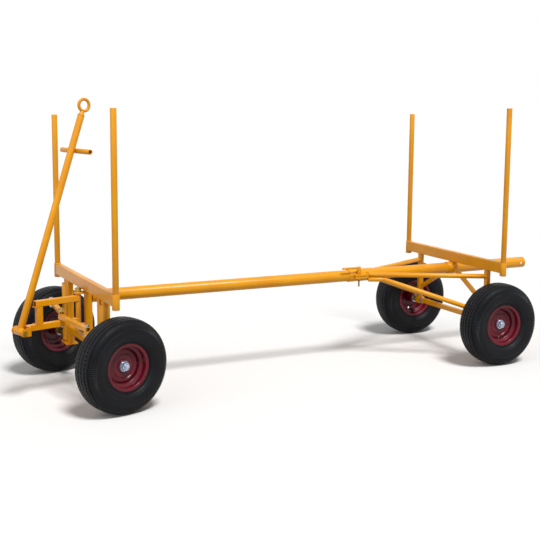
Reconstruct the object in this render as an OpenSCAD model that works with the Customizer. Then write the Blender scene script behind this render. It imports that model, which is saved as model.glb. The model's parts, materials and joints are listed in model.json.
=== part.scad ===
// Long goods cart: a steered front bolster and a sliding rear bolster on one round pole,
// four air-tyred wheels, a tow handle and four lift-out stakes. Millimetres, +Z up.
// X runs to the rear along the pole, Y to the far side, and the origin is on the floor
// at the middle of the whole cart. The near side is -Y. The front wheels stand steered.

/* [Layout] */
// Distance from the front bolster to the rear bolster
wheelbase = 2245; // [1400:5:2300]
// Length of pole behind the rear bolster
pole_tail = 520; // [450:5:700]
// Distance between the two kingpins
kingpin_spread = 640; // [600:10:720]
// Distance between the middles of the rear wheels
rear_track = 890; // [880:5:960]
// Angle that the drawbar and front wheels stand turned to the near side
steer_rest = 15.5; // [0:0.5:19]

/* [Tyres] */
// Outside diameter of a tyre
tyre_d = 460; // [450:2:470]
// Width of a tyre at its widest
tyre_w = 156; // [140:2:160]
// How square the tyre's section is: 2 is an ellipse
tyre_squareness = 2.8; // [2:0.1:3.5]
// Number of grooves round the tread
groove_count = 4; // [2:1:6]
// Width of a tread groove
groove_w = 5; // [3:0.5:7]
// Depth of a tread groove
groove_depth = 5; // [2:0.5:7]
// Distance from one tread groove to the next
groove_pitch = 24; // [16:1:25]
// Thickness of the tyre's wall
tyre_wall = 8; // [6:0.5:10]

/* [Rims and hubs] */
// Diameter of the seat that the tyre's bead sits on
rim_seat_d = 203.2; // [198:0.2:206]
// Height of the rim's flange over that seat
flange_h = 13.4; // [11:0.2:16]
// Depth of the well between the two seats
well_depth = 15.6; // [8:0.2:18]
// Width of the rim over its flanges
rim_w = 116; // [110:1:120]
// Thickness of the rim's sheet
rim_sheet = 3; // [2:0.5:4]
// Distance of the wheel disc outboard of the wheel's middle
disc_offset = 15; // [8:1:18]
// Outside diameter of the hub tube
hub_d = 60; // [56:1:66]
// Reach of the hub inboard of the wheel's middle
hub_in = 60; // [54:1:64]
// Reach of the hub outboard of the wheel's middle
hub_out = 24; // [22:1:32]
// Outside diameter of a wheel bearing
bearing_d = 52; // [47:1:54]
// Width of a wheel bearing
bearing_w = 15; // [12:1:18]
// Diameter of the hole in the wheel disc
disc_hole_d = 12; // [8:1:16]
// Distance of that hole from the axle
disc_hole_r = 74; // [60:1:75]

/* [Axles] */
// Diameter of an axle inside its bearings
axle_d = 25; // [20:1:30]
// Diameter of the axle's thick part inboard of the bearings
axle_shoulder_d = 36; // [34:1:42]
// Distance from a kingpin out to the middle of its wheel
scrub = 140; // [138:1:160]
// Diameter of the washer under an axle nut
axle_washer_d = 47; // [42:1:50]
// Width across the flats of an axle nut
axle_nut_af = 36; // [32:1:41]
// Height of an axle nut
axle_nut_h = 14; // [10:1:18]

/* [Bolsters] */
// Height of the bolsters' undersides above the floor
bolster_z = 520; // [505:1:560]
// Height of a bolster beam
bolster_h = 60; // [50:1:80]
// Thickness of a bolster beam along the cart
bolster_w = 30; // [26:1:34]
// Distance from the middle to the front stakes
front_half = 497; // [440:1:560]
// Distance from the middle to the rear stakes
rear_half = 475; // [440:1:560]
// Wall of the square and oblong tubes
beam_wall = 3; // [2:0.5:4]
// Outer corner radius of the square and oblong tubes
corner_r = 4; // [1:0.5:6]

/* [Stakes] */
// Diameter of a stake
stake_d = 30; // [26:1:32]
// Wall of a stake
stake_wall = 2.5; // [2:0.5:4]
// Height of the near stakes' tops above the floor
near_stake_top = 1430; // [1000:5:1600]
// Height of the far stakes' tops above the floor
far_stake_top = 1375; // [1000:5:1600]
// Wall of a stake socket
socket_wall = 3; // [2:0.5:4]
// How far a socket reaches below its beam
socket_drop = 15; // [8:1:30]
// Thickness of the ledge that a stake stands on
ledge_h = 4; // [3:0.5:6]
// Width of that ledge
ledge_w = 4; // [3:0.5:6]

/* [Pole] */
// Diameter of the pole
pole_d = 64; // [56:1:66]
// Wall of the pole
pole_wall = 4; // [3:0.5:6]
// Gap between the hub sleeve and the rear bolster
pole_gap = 1.2; // [0.5:0.1:5]
// Diameter of the cross hole at the pole's rear end
pole_hole_d = 13; // [10:0.5:17]
// Distance of that hole from the pole's end
pole_hole_inset = 30; // [20:1:50]

/* [Front frame] */
// Width of the inner posts, the lower crossbeam and the drawbar's rails
post_w = 30; // [26:1:32]
// Gap between an inner post and its knuckle tube
inner_post_gap = 12.7; // [10:0.1:16]
// Width of the centre post
centre_post_w = 35; // [30:1:40]
// Height of the lower crossbeam's middle above the axles
crossbeam_rise = 35; // [10:1:50]
// Gap between a knuckle tube and its kingpin plate
plate_gap = 6; // [4:1:12]
// Thickness of the kingpin plates
plate_t = 6; // [5:0.5:10]
// Width of a kingpin plate along the cart
plate_w = 64; // [58:1:70]
// Reach of a kingpin plate past the inner post's middle and past the kingpin's
plate_margin = 25; // [20:1:32]
// Diameter of a kingpin
kingpin_d = 30; // [24:1:32]
// Height of the collar round a kingpin that the front end rests on
collar_h = 10; // [6:1:14]
// Width across the flats of the bolt under a kingpin
plate_bolt_af = 24; // [19:1:27]
// Height of that bolt's head
plate_bolt_h = 9; // [7:1:10]

/* [Knuckles] */
// Outside diameter of a knuckle tube
knuckle_d = 54.6; // [50:0.2:58]
// Wall of a knuckle tube
knuckle_wall = 4; // [3:0.5:5]
// Reach of a knuckle tube below its axle
knuckle_under = 34; // [24:1:40]
// Gap between a knuckle tube and the front bolster
knuckle_gap = 20; // [16:1:30]
// Length of a kingpin bush
bush_len = 40; // [30:1:60]
// Depth of the upper bush's collar below the top of the tube
bush_recess = 8; // [4:1:12]
// Distance from a kingpin to the tie rod's bolt
arm_len = 97; // [85:1:104]
// Width of a steering arm
arm_w = 32; // [28:1:36]
// Thickness of a steering arm
arm_t = 10; // [8:1:12]

/* [Drawbar yoke] */
// Distance of the drawbar's pin in front of the front bolster's middle
pin_lead = 34; // [33:1:40]
// Diameter of the drawbar's pin
pin_d = 20; // [16:1:22]
// Outside diameter of the yoke's pivot tube
pivot_d = 26; // [24:1:30]
// Gap between the lower lug and the bottom rail
lug_gap = 2; // [1:0.5:3]
// Gap between the upper lug and the top rail
upper_lug_gap = 7; // [2:0.5:8]
// Thickness of a lug
lug_t = 10; // [8:1:11]
// Width of a lug
lug_w = 40; // [36:1:44]
// Depth of the top rail's middle below the bolster
top_rail_drop = 42; // [42:1:48]
// Distance between the middles of the two rails
rail_spacing = 115; // [112:1:118]
// Length of the top rail from the drawbar's pin
top_rail_len = 244; // [240:1:256]
// Distance of the upright from the drawbar's pin
upright_at = 221; // [200:1:224]
// Width across the flats of the drawbar's nut and bolt head
pin_nut_af = 30; // [27:1:32]
// Height of the drawbar's nut
pin_nut_h = 16; // [13:0.5:18]
// Height of the drawbar's bolt head
pin_head_h = 13; // [10:1:16]

/* [Tie rods] */
// Width of a tie rod
rod_w = 25; // [20:1:28]
// Height of the near tie rod
near_rod_h = 25; // [18:1:26]
// Height of the far tie rod, which lies on top of the near one
far_rod_h = 20; // [16:1:25]
// Diameter of the steering pin on the yoke
steering_pin_d = 16; // [12:1:18]
// Diameter of the bolts at the steering arms
arm_bolt_d = 12; // [10:1:14]
// Reach of a tie rod past its bolts
rod_end = 14; // [12:1:18]

/* [Tow handle] */
// Distance from the drawbar's pin to the handle's hinge
hinge_at = 326; // [320:1:340]
// Depth of the handle's hinge below the bottom rail's middle
hinge_drop = 10; // [7:1:13]
// Angle that the handle leans back at rest
handle_lean = 19.4; // [12:0.2:25]
// Distance from the hinge to the middle of the tow eye
handle_len = 1145; // [1000:5:1250]
// Diameter of the handle tube
handle_d = 34; // [30:1:36]
// Wall of the handle tube
handle_wall = 3; // [2:0.5:4]
// Diameter of the barrel across the handle's foot
barrel_d = 36; // [34:1:38]
// Length of that barrel
barrel_len = 84; // [76:1:120]
// Diameter of the hinge bolt
hinge_bolt_d = 12; // [10:1:18]
// Thickness of the clevis that holds the hinge
clevis_t = 6; // [5:0.5:8]
// Radius of the clevis's ears
ear_r = 20; // [18:0.5:22]
// Distance from the hinge to the cross handle
cross_at = 919; // [700:1:980]
// Length of the cross handle
cross_len = 260; // [220:5:300]
// Diameter of the cross handle
cross_d = 25; // [22:1:28]
// Outside diameter of the tow eye
eye_d = 73; // [68:1:80]
// Diameter of the tow eye's bore
eye_bore_d = 44; // [40:1:46]
// Length of the straight stretch of the tow eye's bore
eye_land = 7.5; // [5:0.5:10]

/* [Rear bogie] */
// Width of the rear posts
rear_post_w = 28; // [25:1:30]
// Length of bare axle between a rear post's block and its hub
axle_bare = 30; // [10:1:50]
// Width and height of the axle beam
axle_beam_w = 28; // [26:1:38]
// Gap between the end of the axle beam and a rear post's block
axle_beam_gap = 15; // [10:1:40]
// Width and height of the block that joins a post to its axle
block_w = 40; // [38:1:44]
// Reach of the hub sleeve in front of the rear bolster's middle
hub_sleeve_front = 48; // [30:1:60]
// Reach of the hub sleeve behind the rear bolster's middle
hub_sleeve_rear = 23; // [18:1:30]
// Wall of the sleeves on the pole
sleeve_wall = 3.5; // [3:0.5:4]
// Width of the diagonals beside the pole
diagonal_w = 22; // [18:1:25]
// Height above the axle at which a diagonal's middle meets a rear post's middle
diagonal_foot = 77; // [60:1:100]
// Height over the pole's middle that a diagonal's middle runs up to
diagonal_rise = 11; // [3:1:13]

/* [Clamp and struts] */
// Distance of the clamp sleeve's front end from the rear bolster
clamp_front = 725; // [600:5:760]
// Length of the clamp sleeve
clamp_len = 158; // [140:1:180]
// Distance of the clamp bolt from the sleeve's front end
clamp_bolt_at = 50; // [42:1:60]
// Width of the slot in the clamp sleeve
clamp_slot = 3; // [2:0.5:5]
// Thickness of a clamp ear
clamp_ear_t = 10; // [8:1:12]
// Reach of a clamp ear in front of its bolt
clamp_ear_front = 28; // [20:1:34]
// Gap between the clamp ears and the front ends of the upper struts
clamp_ear_gap = 0.55; // [0.3:0.05:20]
// Diameter of the clamp bolt
clamp_bolt_d = 10; // [8:1:12]
// Length of the clamp lever's arm
lever_len = 107; // [90:1:120]
// Diameter of the clamp lever's arm
lever_d = 11; // [9:1:12]
// Height of the clamp lever's arm above the pole's middle
lever_rise = 50; // [38:1:54]
// Length of the clamp bolt's tail below the pole's middle
bolt_tail = 58; // [48:1:64]
// Diameter of the struts
strut_d = 26.9; // [21:0.1:27]
// Wall of the struts
strut_wall = 2.5; // [2:0.5:4]
// Distance of the upper struts' front ends from the sleeve's rear end
upper_strut_in = 20; // [16:1:28]
// Height of the upper struts' front ends over the pole's middle
upper_strut_rise = 4; // [2:1:8]
// Distance that the lower struts run level before their bend
lower_strut_level = 60; // [40:1:90]
// Depth of the lower struts' front ends under the pole's middle
lower_strut_drop = 24; // [24:1:28]
// Height above the axle at which a lower strut meets its post
lower_strut_rise = 42; // [38:1:70]

/* [Hidden] */
$fn = 64;
// Root gap between two welded pieces
weld = 0.1;
// Air between two pieces that move past each other
slip = 0.3;
// Radial play of a pin in its bush
play = 0.05;
// Far enough for a cut to pass through
past = 1;
// Length of thread past a nut
thread_tail = 4;

// Overall lengths: the clevis's far ear reaches furthest forward
ear_out = barrel_len / 2 + slip + clevis_t;
reach_front = pin_lead + (hinge_at + ear_r) * cos(steer_rest) + ear_out * sin(steer_rest);
pole_rear = wheelbase + pole_tail;
front_x = (reach_front - pole_rear) / 2;
rear_x = front_x + wheelbase;
pole_end_x = front_x + pole_rear;
pin_x = front_x - pin_lead;
kingpin_y = kingpin_spread / 2;

// Wheels
wheel_r = tyre_d / 2;
seat_r = rim_seat_d / 2;
flange_r = seat_r + flange_h;
well_r = seat_r - well_depth;
half_rim = rim_w / 2;
seat_w = 27;
seat_corner = 5;
well_slope_w = 8;
bead_w = 19;
bead_thick = 8;
bead_gap = 0.3;
flange_lip = 1;
widest_drop = 4;
widest_r = (wheel_r + flange_r) / 2 - widest_drop;
axle_r = axle_d / 2;
shoulder_r = axle_shoulder_d / 2;
bearing_step = 3;
hub_inner_r = bearing_d / 2 - bearing_step;
washer_t = 3;
axle_end = hub_out + slip + washer_t + weld + axle_nut_h + thread_tail;

// Bolsters, sockets and stakes
bolster_mid = bolster_z + bolster_h / 2;
stake_r = stake_d / 2;
socket_r = stake_r + slip + socket_wall;
socket_low = bolster_z - socket_drop;
socket_h = bolster_h + socket_drop;
stake_low = socket_low + ledge_h + slip;

// Pole and sleeves
pole_r = pole_d / 2;
pole_front_x = front_x + centre_post_w + weld;
sleeve_r = pole_r + slip + sleeve_wall;
pole_z = bolster_z - sleeve_r - pole_gap;

// Front frame
knuckle_r = knuckle_d / 2;
knuckle_low = wheel_r - knuckle_under;
plate_top = knuckle_low - plate_gap;
plate_z = plate_top - plate_t;
inner_post_y = kingpin_y - knuckle_r - inner_post_gap - post_w / 2;
crossbeam_z = wheel_r + crossbeam_rise;
centre_post_x = front_x + centre_post_w / 2;
crossbeam_top = crossbeam_z + post_w / 2;
kingpin_r = kingpin_d / 2;
plate_bolt_r = 8;
plate_bolt_grip = 24;
pin_washer_w = 7;

// Knuckles
knuckle_top = bolster_z - knuckle_gap;
knuckle_bore_r = knuckle_r - knuckle_wall;
collar_top = knuckle_top - bush_recess;
upper_bush_top = collar_top - collar_h - slip;
collar_air = 2;
collar_r = knuckle_bore_r - collar_air;

// Yoke, tie rods and steering arms
pin_r = pin_d / 2;
top_rail_z = bolster_z - top_rail_drop;
bottom_rail_z = top_rail_z - rail_spacing;
upper_lug_z = top_rail_z + post_w / 2 + upper_lug_gap;
lower_lug_z = bottom_rail_z - post_w / 2 - lug_gap;
rail_top = bottom_rail_z + post_w / 2;
spacer_t = 2;
spacer_w = 6;
near_rod_low = rail_top + spacer_t + slip;
near_rod_top = near_rod_low + near_rod_h;
far_rod_low = near_rod_top + slip;
far_rod_top = far_rod_low + far_rod_h;
steering_nut_h = 10;
rod_wall = 3;
rod_run = norm([pin_lead, kingpin_y]);
rod_turn = atan2(pin_lead, kingpin_y);
arm_bolt_head_h = 8;
arm_nut_h = 10;

// Handle: the crosspiece's top edge stops the handle where it leans at rest
hinge_z = bottom_rail_z - hinge_drop;
handle_r = handle_d / 2;
stop_rise = rail_top - hinge_z;
stop_back = (handle_r + slip + stop_rise * sin(handle_lean)) / cos(handle_lean);
crosspiece_t = 8;
crosspiece_at = hinge_at - stop_back;
bottom_rail_end = crosspiece_at - crosspiece_t;
eye_r = eye_d / 2;
neck_len = 22;
neck_in = 6;
plug_len = 45;
handle_top = handle_len - eye_r - neck_len + neck_in;
cross_let_in = 3;
cross_back = handle_r + cross_d / 2 - cross_let_in;
hinge_head_h = 8;
hinge_nut_h = 10;

// Rear bogie
block_low = wheel_r - block_w / 2;
block_top = wheel_r + block_w / 2;
block_half = 20;
rear_post_y = rear_track / 2 - hub_in - axle_bare - block_half;
axle_beam_half = rear_post_y - block_half - axle_beam_gap;
diagonal_low = wheel_r + diagonal_foot;
diagonal_high = pole_z + diagonal_rise;
axle_collar_t = 8;
axle_collar_lip = 5;
shank_len = 60;
neck_w = 40;
clamp_x = rear_x - clamp_front;
clamp_bolt_x = clamp_x + clamp_bolt_at;
clamp_bolt_out = 11;
clamp_bolt_y = -(sleeve_r + clamp_bolt_out);
clamp_ear_out = 13;
clamp_nut_af = 17;
clamp_nut_h = 8;
lever_hub_r = 10;
strut_r = strut_d / 2;
strut_face_x = rear_x - rear_post_w / 2;
lower_strut_foot = wheel_r + lower_strut_rise;
upper_strut_x = clamp_x + clamp_len - upper_strut_in;
strut_side = 6;
strut_start_y = sleeve_r + strut_side;
post_reach = strut_face_x - upper_strut_x;
strut_lead = 18;
// The ears end in front of the upper struts' slanting ends
ear_behind = upper_strut_x - strut_lead - strut_r - clamp_ear_gap - clamp_bolt_x;

SIDES = [-1, 1];

paint = [0.88, 0.58, 0.1];
crimson = [0.6, 0.09, 0.14];
tyre_black = [0.1, 0.1, 0.11];
zinc = [0.72, 0.75, 0.8];
gold_zinc = [0.62, 0.52, 0.26];
bronze = [0.6, 0.42, 0.2];
steel = [0.55, 0.56, 0.58];

// Outline with round corners, centred
module rounded(w, h, r) {
    square([w - 2 * r, h], center = true);
    square([w, h - 2 * r], center = true);
    for (x = SIDES, y = SIDES)
        translate([x * (w / 2 - r), y * (h / 2 - r)])
            circle(r);
}

// Cross-section of a square or oblong tube
module tube_section(w, h) {
    difference() {
        rounded(w, h, corner_r);
        square([w - 2 * beam_wall, h - 2 * beam_wall], center = true);
    }
}

// Tube standing on z = 0
module upright_tube(w, h) {
    linear_extrude(h)
        tube_section(w, w);
}

// Ring standing on z = 0
module ring(h, r_out, r_in) {
    difference() {
        cylinder(h = h, r = r_out);
        translate([0, 0, -past])
            cylinder(h = h + 2 * past, r = r_in);
    }
}

// Hexagon standing on z = 0, by its width across flats
module hexagon(af, h) {
    cylinder(h = h, r = af / sqrt(3), $fn = 6);
}

// Width across the flats of a small nut or head for a thread of diameter d
function hex_af(d) = 1.6 * d;

// Hexagon nut on a thread of radius r
module nut(af, h, r) {
    difference() {
        hexagon(af, h);
        translate([0, 0, -past])
            cylinder(h = h + 2 * past, r = r + play);
    }
}

// Turns +Z to point from a to b, with its zero at a
module from_to(a, b) {
    d = b - a;
    translate(a)
        rotate([0, acos(d.z / norm(d)), atan2(d.y, d.x)])
            children();
}

// Round bar from a to b
module bar(a, b, r) {
    from_to(a, b)
        cylinder(h = norm(b - a), r = r);
}

// Frame of the yoke: +X points where the drawbar heads, +Y to the near side
module in_yoke() {
    translate([pin_x, 0, 0])
        rotate([0, 0, 180 + steer_rest])
            children();
}

// Frame of a knuckle, turned like the yoke; side is -1 near, 1 far
module in_knuckle(side) {
    translate([front_x, side * kingpin_y, 0])
        rotate([0, 0, 180 + steer_rest])
            children();
}

// Turns +Z outboard in a knuckle's frame at the height of the axle
module on_front_axle(side) {
    in_knuckle(side)
        translate([0, 0, wheel_r])
            rotate([side * 90, 0, 0])
                children();
}

// Turns +Z outboard at the height of the rear axle
module on_rear_axle(side) {
    translate([rear_x, 0, wheel_r])
        rotate([-side * 90, 0, 0])
            children();
}

// Frame of a wheel: +Z points outboard from the wheel's middle
module in_front_wheel(side) {
    on_front_axle(side)
        translate([0, 0, scrub])
            children();
}

module in_rear_wheel(side) {
    on_rear_axle(side)
        translate([0, 0, rear_track / 2])
            children();
}

// Frame of the handle: +Z along the handle, +X its front, +Y to the near side
module in_handle() {
    in_yoke()
        translate([hinge_at, 0, hinge_z])
            rotate([0, -handle_lean, 0])
                children();
}

// Bolster beam across the cart, hollowed at its ends for the sockets
module bolster(x, half) {
    difference() {
        translate([x, 0, bolster_mid])
            rotate([90, 0, 0])
                linear_extrude(2 * half, center = true)
                    tube_section(bolster_w, bolster_h);
        for (side = SIDES)
            translate([x, side * half, bolster_z - past])
                cylinder(h = bolster_h + 2 * past, r = socket_r + weld);
    }
}

// Pair of open-ended sockets with a ledge at the bottom
module sockets(x, half) {
    for (side = SIDES)
        translate([x, side * half, socket_low])
            difference() {
                cylinder(h = socket_h, r = socket_r);
                translate([0, 0, ledge_h])
                    cylinder(h = socket_h, r = stake_r + slip);
                translate([0, 0, -past])
                    cylinder(h = ledge_h + 2 * past, r = stake_r - ledge_w);
            }
}

// Stake: a tube with a closed top
module stake(x, y, top) {
    color(paint)
        translate([x, y, stake_low])
            difference() {
                cylinder(h = top - stake_low, r = stake_r);
                translate([0, 0, -past])
                    cylinder(h = top - stake_low - stake_wall + past, r = stake_r - stake_wall);
            }
}

module front_bolster() {
    color(paint)
        bolster(front_x, front_half);
}

module front_sockets() {
    color(paint)
        sockets(front_x, front_half);
}

module inner_posts() {
    color(paint)
        for (side = SIDES)
            translate([front_x, side * inner_post_y, plate_top + weld])
                upright_tube(post_w, bolster_z - plate_top - 2 * weld);
}

module centre_post() {
    color(paint)
        translate([centre_post_x, 0, crossbeam_top + weld])
            upright_tube(centre_post_w, bolster_z - crossbeam_top - 2 * weld);
}

module lower_crossbeam() {
    color(paint)
        translate([front_x, 0, crossbeam_z])
            rotate([90, 0, 0])
                linear_extrude(2 * inner_post_y - post_w - 2 * weld, center = true)
                    tube_section(post_w, post_w);
}

// Kingpins, each with the collar that rests on its upper bush
module kingpins() {
    color(steel)
        for (side = SIDES)
            translate([front_x, side * kingpin_y, 0])
                difference() {
                    union() {
                        translate([0, 0, plate_top + weld])
                            cylinder(h = bolster_z - plate_top - 2 * weld, r = kingpin_r);
                        translate([0, 0, collar_top - collar_h])
                            cylinder(h = collar_h, r = collar_r);
                    }
                    translate([0, 0, plate_top - past])
                        cylinder(h = plate_bolt_grip + past, r = plate_bolt_r + play);
                }
}

module kingpin_plates() {
    plate_len = kingpin_y - inner_post_y + 2 * plate_margin;
    color(paint)
        for (side = SIDES)
            difference() {
                translate([front_x, side * (kingpin_y + inner_post_y) / 2, plate_z])
                    linear_extrude(plate_t)
                        rounded(plate_w, plate_len, 2 * corner_r);
                translate([front_x, side * kingpin_y, plate_z - past])
                    cylinder(h = plate_t + 2 * past, r = plate_bolt_r + play);
            }
}

// Lugs on the centre post's front that carry the drawbar's pin
module drawbar_lugs() {
    color(paint)
        for (z = [upper_lug_z, lower_lug_z - lug_t])
            translate([pin_x, 0, z])
                linear_extrude(lug_t)
                    difference() {
                        union() {
                            circle(lug_w / 2);
                            translate([0, -lug_w / 2])
                                square([pin_lead - weld, lug_w]);
                        }
                        circle(pin_r + play);
                    }
}

// The drawbar's bolt, washer and nut, and the bolts under the kingpins
module front_fasteners() {
    lug_low = lower_lug_z - lug_t;
    lug_high = upper_lug_z + lug_t;
    nut_low = lug_high + washer_t + weld;
    color(gold_zinc) {
        translate([pin_x, 0, lug_low - pin_head_h])
            hexagon(pin_nut_af, pin_head_h);
        translate([pin_x, 0, lug_low])
            cylinder(h = nut_low + pin_nut_h + thread_tail - lug_low, r = pin_r);
        translate([pin_x, 0, lug_high])
            ring(washer_t, pin_r + pin_washer_w, pin_r + play);
        translate([pin_x, 0, nut_low])
            nut(pin_nut_af, pin_nut_h, pin_r);
    }
    color(zinc)
        for (side = SIDES)
            translate([front_x, side * kingpin_y, plate_z]) {
                translate([0, 0, -plate_bolt_h])
                    hexagon(plate_bolt_af, plate_bolt_h);
                cylinder(h = plate_t + plate_bolt_grip - past, r = plate_bolt_r);
            }
}

// Pole from the centre post to the rear end, with a cross hole
module main_pole() {
    color(paint)
        difference() {
            translate([pole_front_x, 0, pole_z])
                rotate([0, 90, 0])
                    ring(pole_end_x - pole_front_x, pole_r, pole_r - pole_wall);
            translate([pole_end_x - pole_hole_inset, 0, pole_z])
                rotate([90, 0, 0])
                    cylinder(h = pole_d + 2 * past, r = pole_hole_d / 2, center = true);
        }
}

module yoke_pivot_tube() {
    color(paint)
        in_yoke()
            translate([0, 0, lower_lug_z + slip])
                ring(upper_lug_z - lower_lug_z - 2 * slip, pivot_d / 2, pin_r + play);
}

// Rail of the yoke from the pivot tube to a given length
module yoke_rail(z, len) {
    color(paint)
        in_yoke()
            difference() {
                translate([0, 0, z])
                    rotate([90, 0, 90])
                        linear_extrude(len)
                            tube_section(post_w, post_w);
                translate([0, 0, z - post_w])
                    cylinder(h = 2 * post_w, r = pivot_d / 2 + weld);
            }
}

module yoke_top_rail() {
    yoke_rail(top_rail_z, top_rail_len);
}

module yoke_bottom_rail() {
    yoke_rail(bottom_rail_z, bottom_rail_end - weld);
}

module yoke_upright() {
    gap = top_rail_z - post_w / 2 - rail_top;
    color(paint)
        in_yoke()
            translate([upright_at, 0, rail_top + weld])
                upright_tube(post_w, gap - 2 * weld);
}

// Crosspiece at the end of the bottom rail, with an ear at each end for the hinge
module yoke_clevis() {
    color(paint)
        in_yoke()
            difference() {
                union() {
                    translate([bottom_rail_end, -ear_out, hinge_z - ear_r])
                        cube([crosspiece_t, 2 * ear_out, rail_top - hinge_z + ear_r]);
                    for (side = SIDES)
                        translate([hinge_at, side * (ear_out - clevis_t / 2), hinge_z])
                            rotate([90, 0, 0])
                                linear_extrude(clevis_t, center = true)
                                    union() {
                                        circle(ear_r);
                                        translate([-stop_back - crosspiece_t / 2, -ear_r])
                                            square([stop_back + crosspiece_t / 2, 2 * ear_r]);
                                    }
                }
                translate([hinge_at, 0, hinge_z])
                    rotate([90, 0, 0])
                        cylinder(h = 2 * ear_out + 2 * past, r = hinge_bolt_d / 2 + play, center = true);
            }
}

// Pin that the two tie rods turn on, with a spacer below and a nut above
module steering_pin() {
    pin_radius = steering_pin_d / 2;
    nut_low = far_rod_top + slip;
    color(zinc)
        in_yoke()
            translate([arm_len, 0, 0]) {
                translate([0, 0, rail_top + weld])
                    cylinder(h = spacer_t - weld, r = pin_radius + spacer_w);
                translate([0, 0, rail_top + spacer_t])
                    cylinder(
                        h = nut_low + steering_nut_h + thread_tail - rail_top - spacer_t,
                        r = pin_radius
                    );
                translate([0, 0, nut_low])
                    nut(hex_af(steering_pin_d), steering_nut_h, pin_radius);
            }
}

// Bolt through the clevis and the handle's barrel, head on the near side
module hinge_bolt() {
    radius = hinge_bolt_d / 2;
    af = hex_af(hinge_bolt_d);
    color(gold_zinc)
        in_yoke()
            translate([hinge_at, 0, hinge_z])
                rotate([90, 0, 0]) {
                    translate([0, 0, -ear_out])
                        cylinder(h = 2 * ear_out + hinge_nut_h + thread_tail, r = radius);
                    translate([0, 0, -ear_out - hinge_head_h])
                        hexagon(af, hinge_head_h);
                    translate([0, 0, ear_out])
                        nut(af, hinge_nut_h, radius);
                }
}

module handle_barrel() {
    color(paint)
        in_handle()
            rotate([90, 0, 0])
                translate([0, 0, -barrel_len / 2])
                    ring(barrel_len, barrel_d / 2, hinge_bolt_d / 2 + play);
}

module handle_tube() {
    color(paint)
        in_handle()
            difference() {
                ring(handle_top, handle_r, handle_r - handle_wall);
                rotate([90, 0, 0])
                    cylinder(h = 2 * handle_d, r = barrel_d / 2 + weld, center = true);
            }
}

// Cross handle, let a little way into the back of the handle tube
module cross_handle() {
    color(paint)
        in_handle()
            difference() {
                translate([-cross_back, cross_len / 2, cross_at])
                    rotate([90, 0, 0])
                        ring(cross_len, cross_d / 2, cross_d / 2 - handle_wall);
                cylinder(h = handle_len, r = handle_r + weld);
            }
}

// Tow eye: a ring with a straight bore, a neck and a plug inside the handle tube
module tow_eye() {
    bore_r = eye_bore_d / 2;
    bead_r = (eye_r - bore_r) / 2;
    ring_r = (eye_r + bore_r) / 2;
    color(paint)
        in_handle()
            difference() {
                union() {
                    translate([0, 0, handle_top + weld])
                        cylinder(h = neck_len - weld, r1 = handle_r, r2 = bead_r);
                    translate([0, 0, handle_top - plug_len])
                        cylinder(h = plug_len + past, r = handle_r - handle_wall - weld);
                    translate([0, 0, handle_len])
                        rotate([90, 0, 0])
                            rotate_extrude()
                                union() {
                                    translate([ring_r, 0])
                                        circle(bead_r);
                                    translate([bore_r, -eye_land / 2])
                                        square([bead_r, eye_land]);
                                }
                }
                translate([0, 0, handle_len])
                    rotate([90, 0, 0])
                        cylinder(h = eye_d, r = bore_r, center = true);
            }
}

// Knuckle: the tube that turns on a kingpin, with its steering arm
module knuckle(side, arm_top) {
    color(paint)
        in_knuckle(side)
            difference() {
                union() {
                    translate([0, 0, knuckle_low])
                        cylinder(h = knuckle_top - knuckle_low, r = knuckle_r);
                    translate([0, 0, arm_top - arm_t])
                        linear_extrude(arm_t)
                            union() {
                                translate([0, -arm_w / 2])
                                    square([arm_len, arm_w]);
                                translate([arm_len, 0])
                                    circle(arm_w / 2);
                            }
                }
                translate([0, 0, knuckle_low - past])
                    cylinder(h = knuckle_top - knuckle_low + 2 * past, r = knuckle_bore_r);
                translate([arm_len, 0, arm_top - arm_t - past])
                    cylinder(h = arm_t + 2 * past, r = arm_bolt_d / 2 + play);
            }
}

module knuckle_near() {
    knuckle(-1, near_rod_low - slip);
}

module knuckle_far() {
    knuckle(1, far_rod_low - slip);
}

// Front stub axle, notched to fit round its knuckle tube
module front_axle(side) {
    color(gold_zinc)
        difference() {
            on_front_axle(side) {
                cylinder(h = scrub - hub_in - slip, r = shoulder_r);
                cylinder(h = scrub + axle_end, r = axle_r);
            }
            in_knuckle(side)
                translate([0, 0, knuckle_low])
                    cylinder(h = knuckle_top - knuckle_low, r = knuckle_r + weld);
        }
}

module front_axle_near() {
    front_axle(-1);
}

module front_axle_far() {
    front_axle(1);
}

// Two bushes between a knuckle tube and its kingpin
module kingpin_bushes(side) {
    color(bronze)
        in_knuckle(side)
            for (z = [knuckle_low, upper_bush_top - bush_len])
                translate([0, 0, z])
                    ring(bush_len, knuckle_bore_r - play, kingpin_r + play);
}

module kingpin_bushes_near() {
    kingpin_bushes(-1);
}

module kingpin_bushes_far() {
    kingpin_bushes(1);
}

// Washer and nut on an axle, in the frame of its wheel
module axle_nut() {
    translate([0, 0, hub_out + slip])
        ring(washer_t, axle_washer_d / 2, axle_r + play);
    translate([0, 0, hub_out + slip + washer_t + weld])
        nut(axle_nut_af, axle_nut_h, axle_r);
}

// Bolt and nut that join a tie rod to a steering arm
module arm_bolt(side, arm_top, rod_h) {
    radius = arm_bolt_d / 2;
    head_low = arm_top + slip + rod_h + slip;
    nut_low = arm_top - arm_t - arm_nut_h;
    in_knuckle(side)
        translate([arm_len, 0, 0]) {
            translate([0, 0, nut_low - thread_tail])
                cylinder(h = head_low - nut_low + thread_tail, r = radius);
            translate([0, 0, head_low])
                hexagon(hex_af(arm_bolt_d), arm_bolt_head_h);
            translate([0, 0, nut_low])
                nut(hex_af(arm_bolt_d), arm_nut_h, radius);
        }
}

module knuckle_fasteners_near() {
    color(zinc) {
        in_front_wheel(-1)
            axle_nut();
        arm_bolt(-1, near_rod_low - slip, near_rod_h);
    }
}

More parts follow.
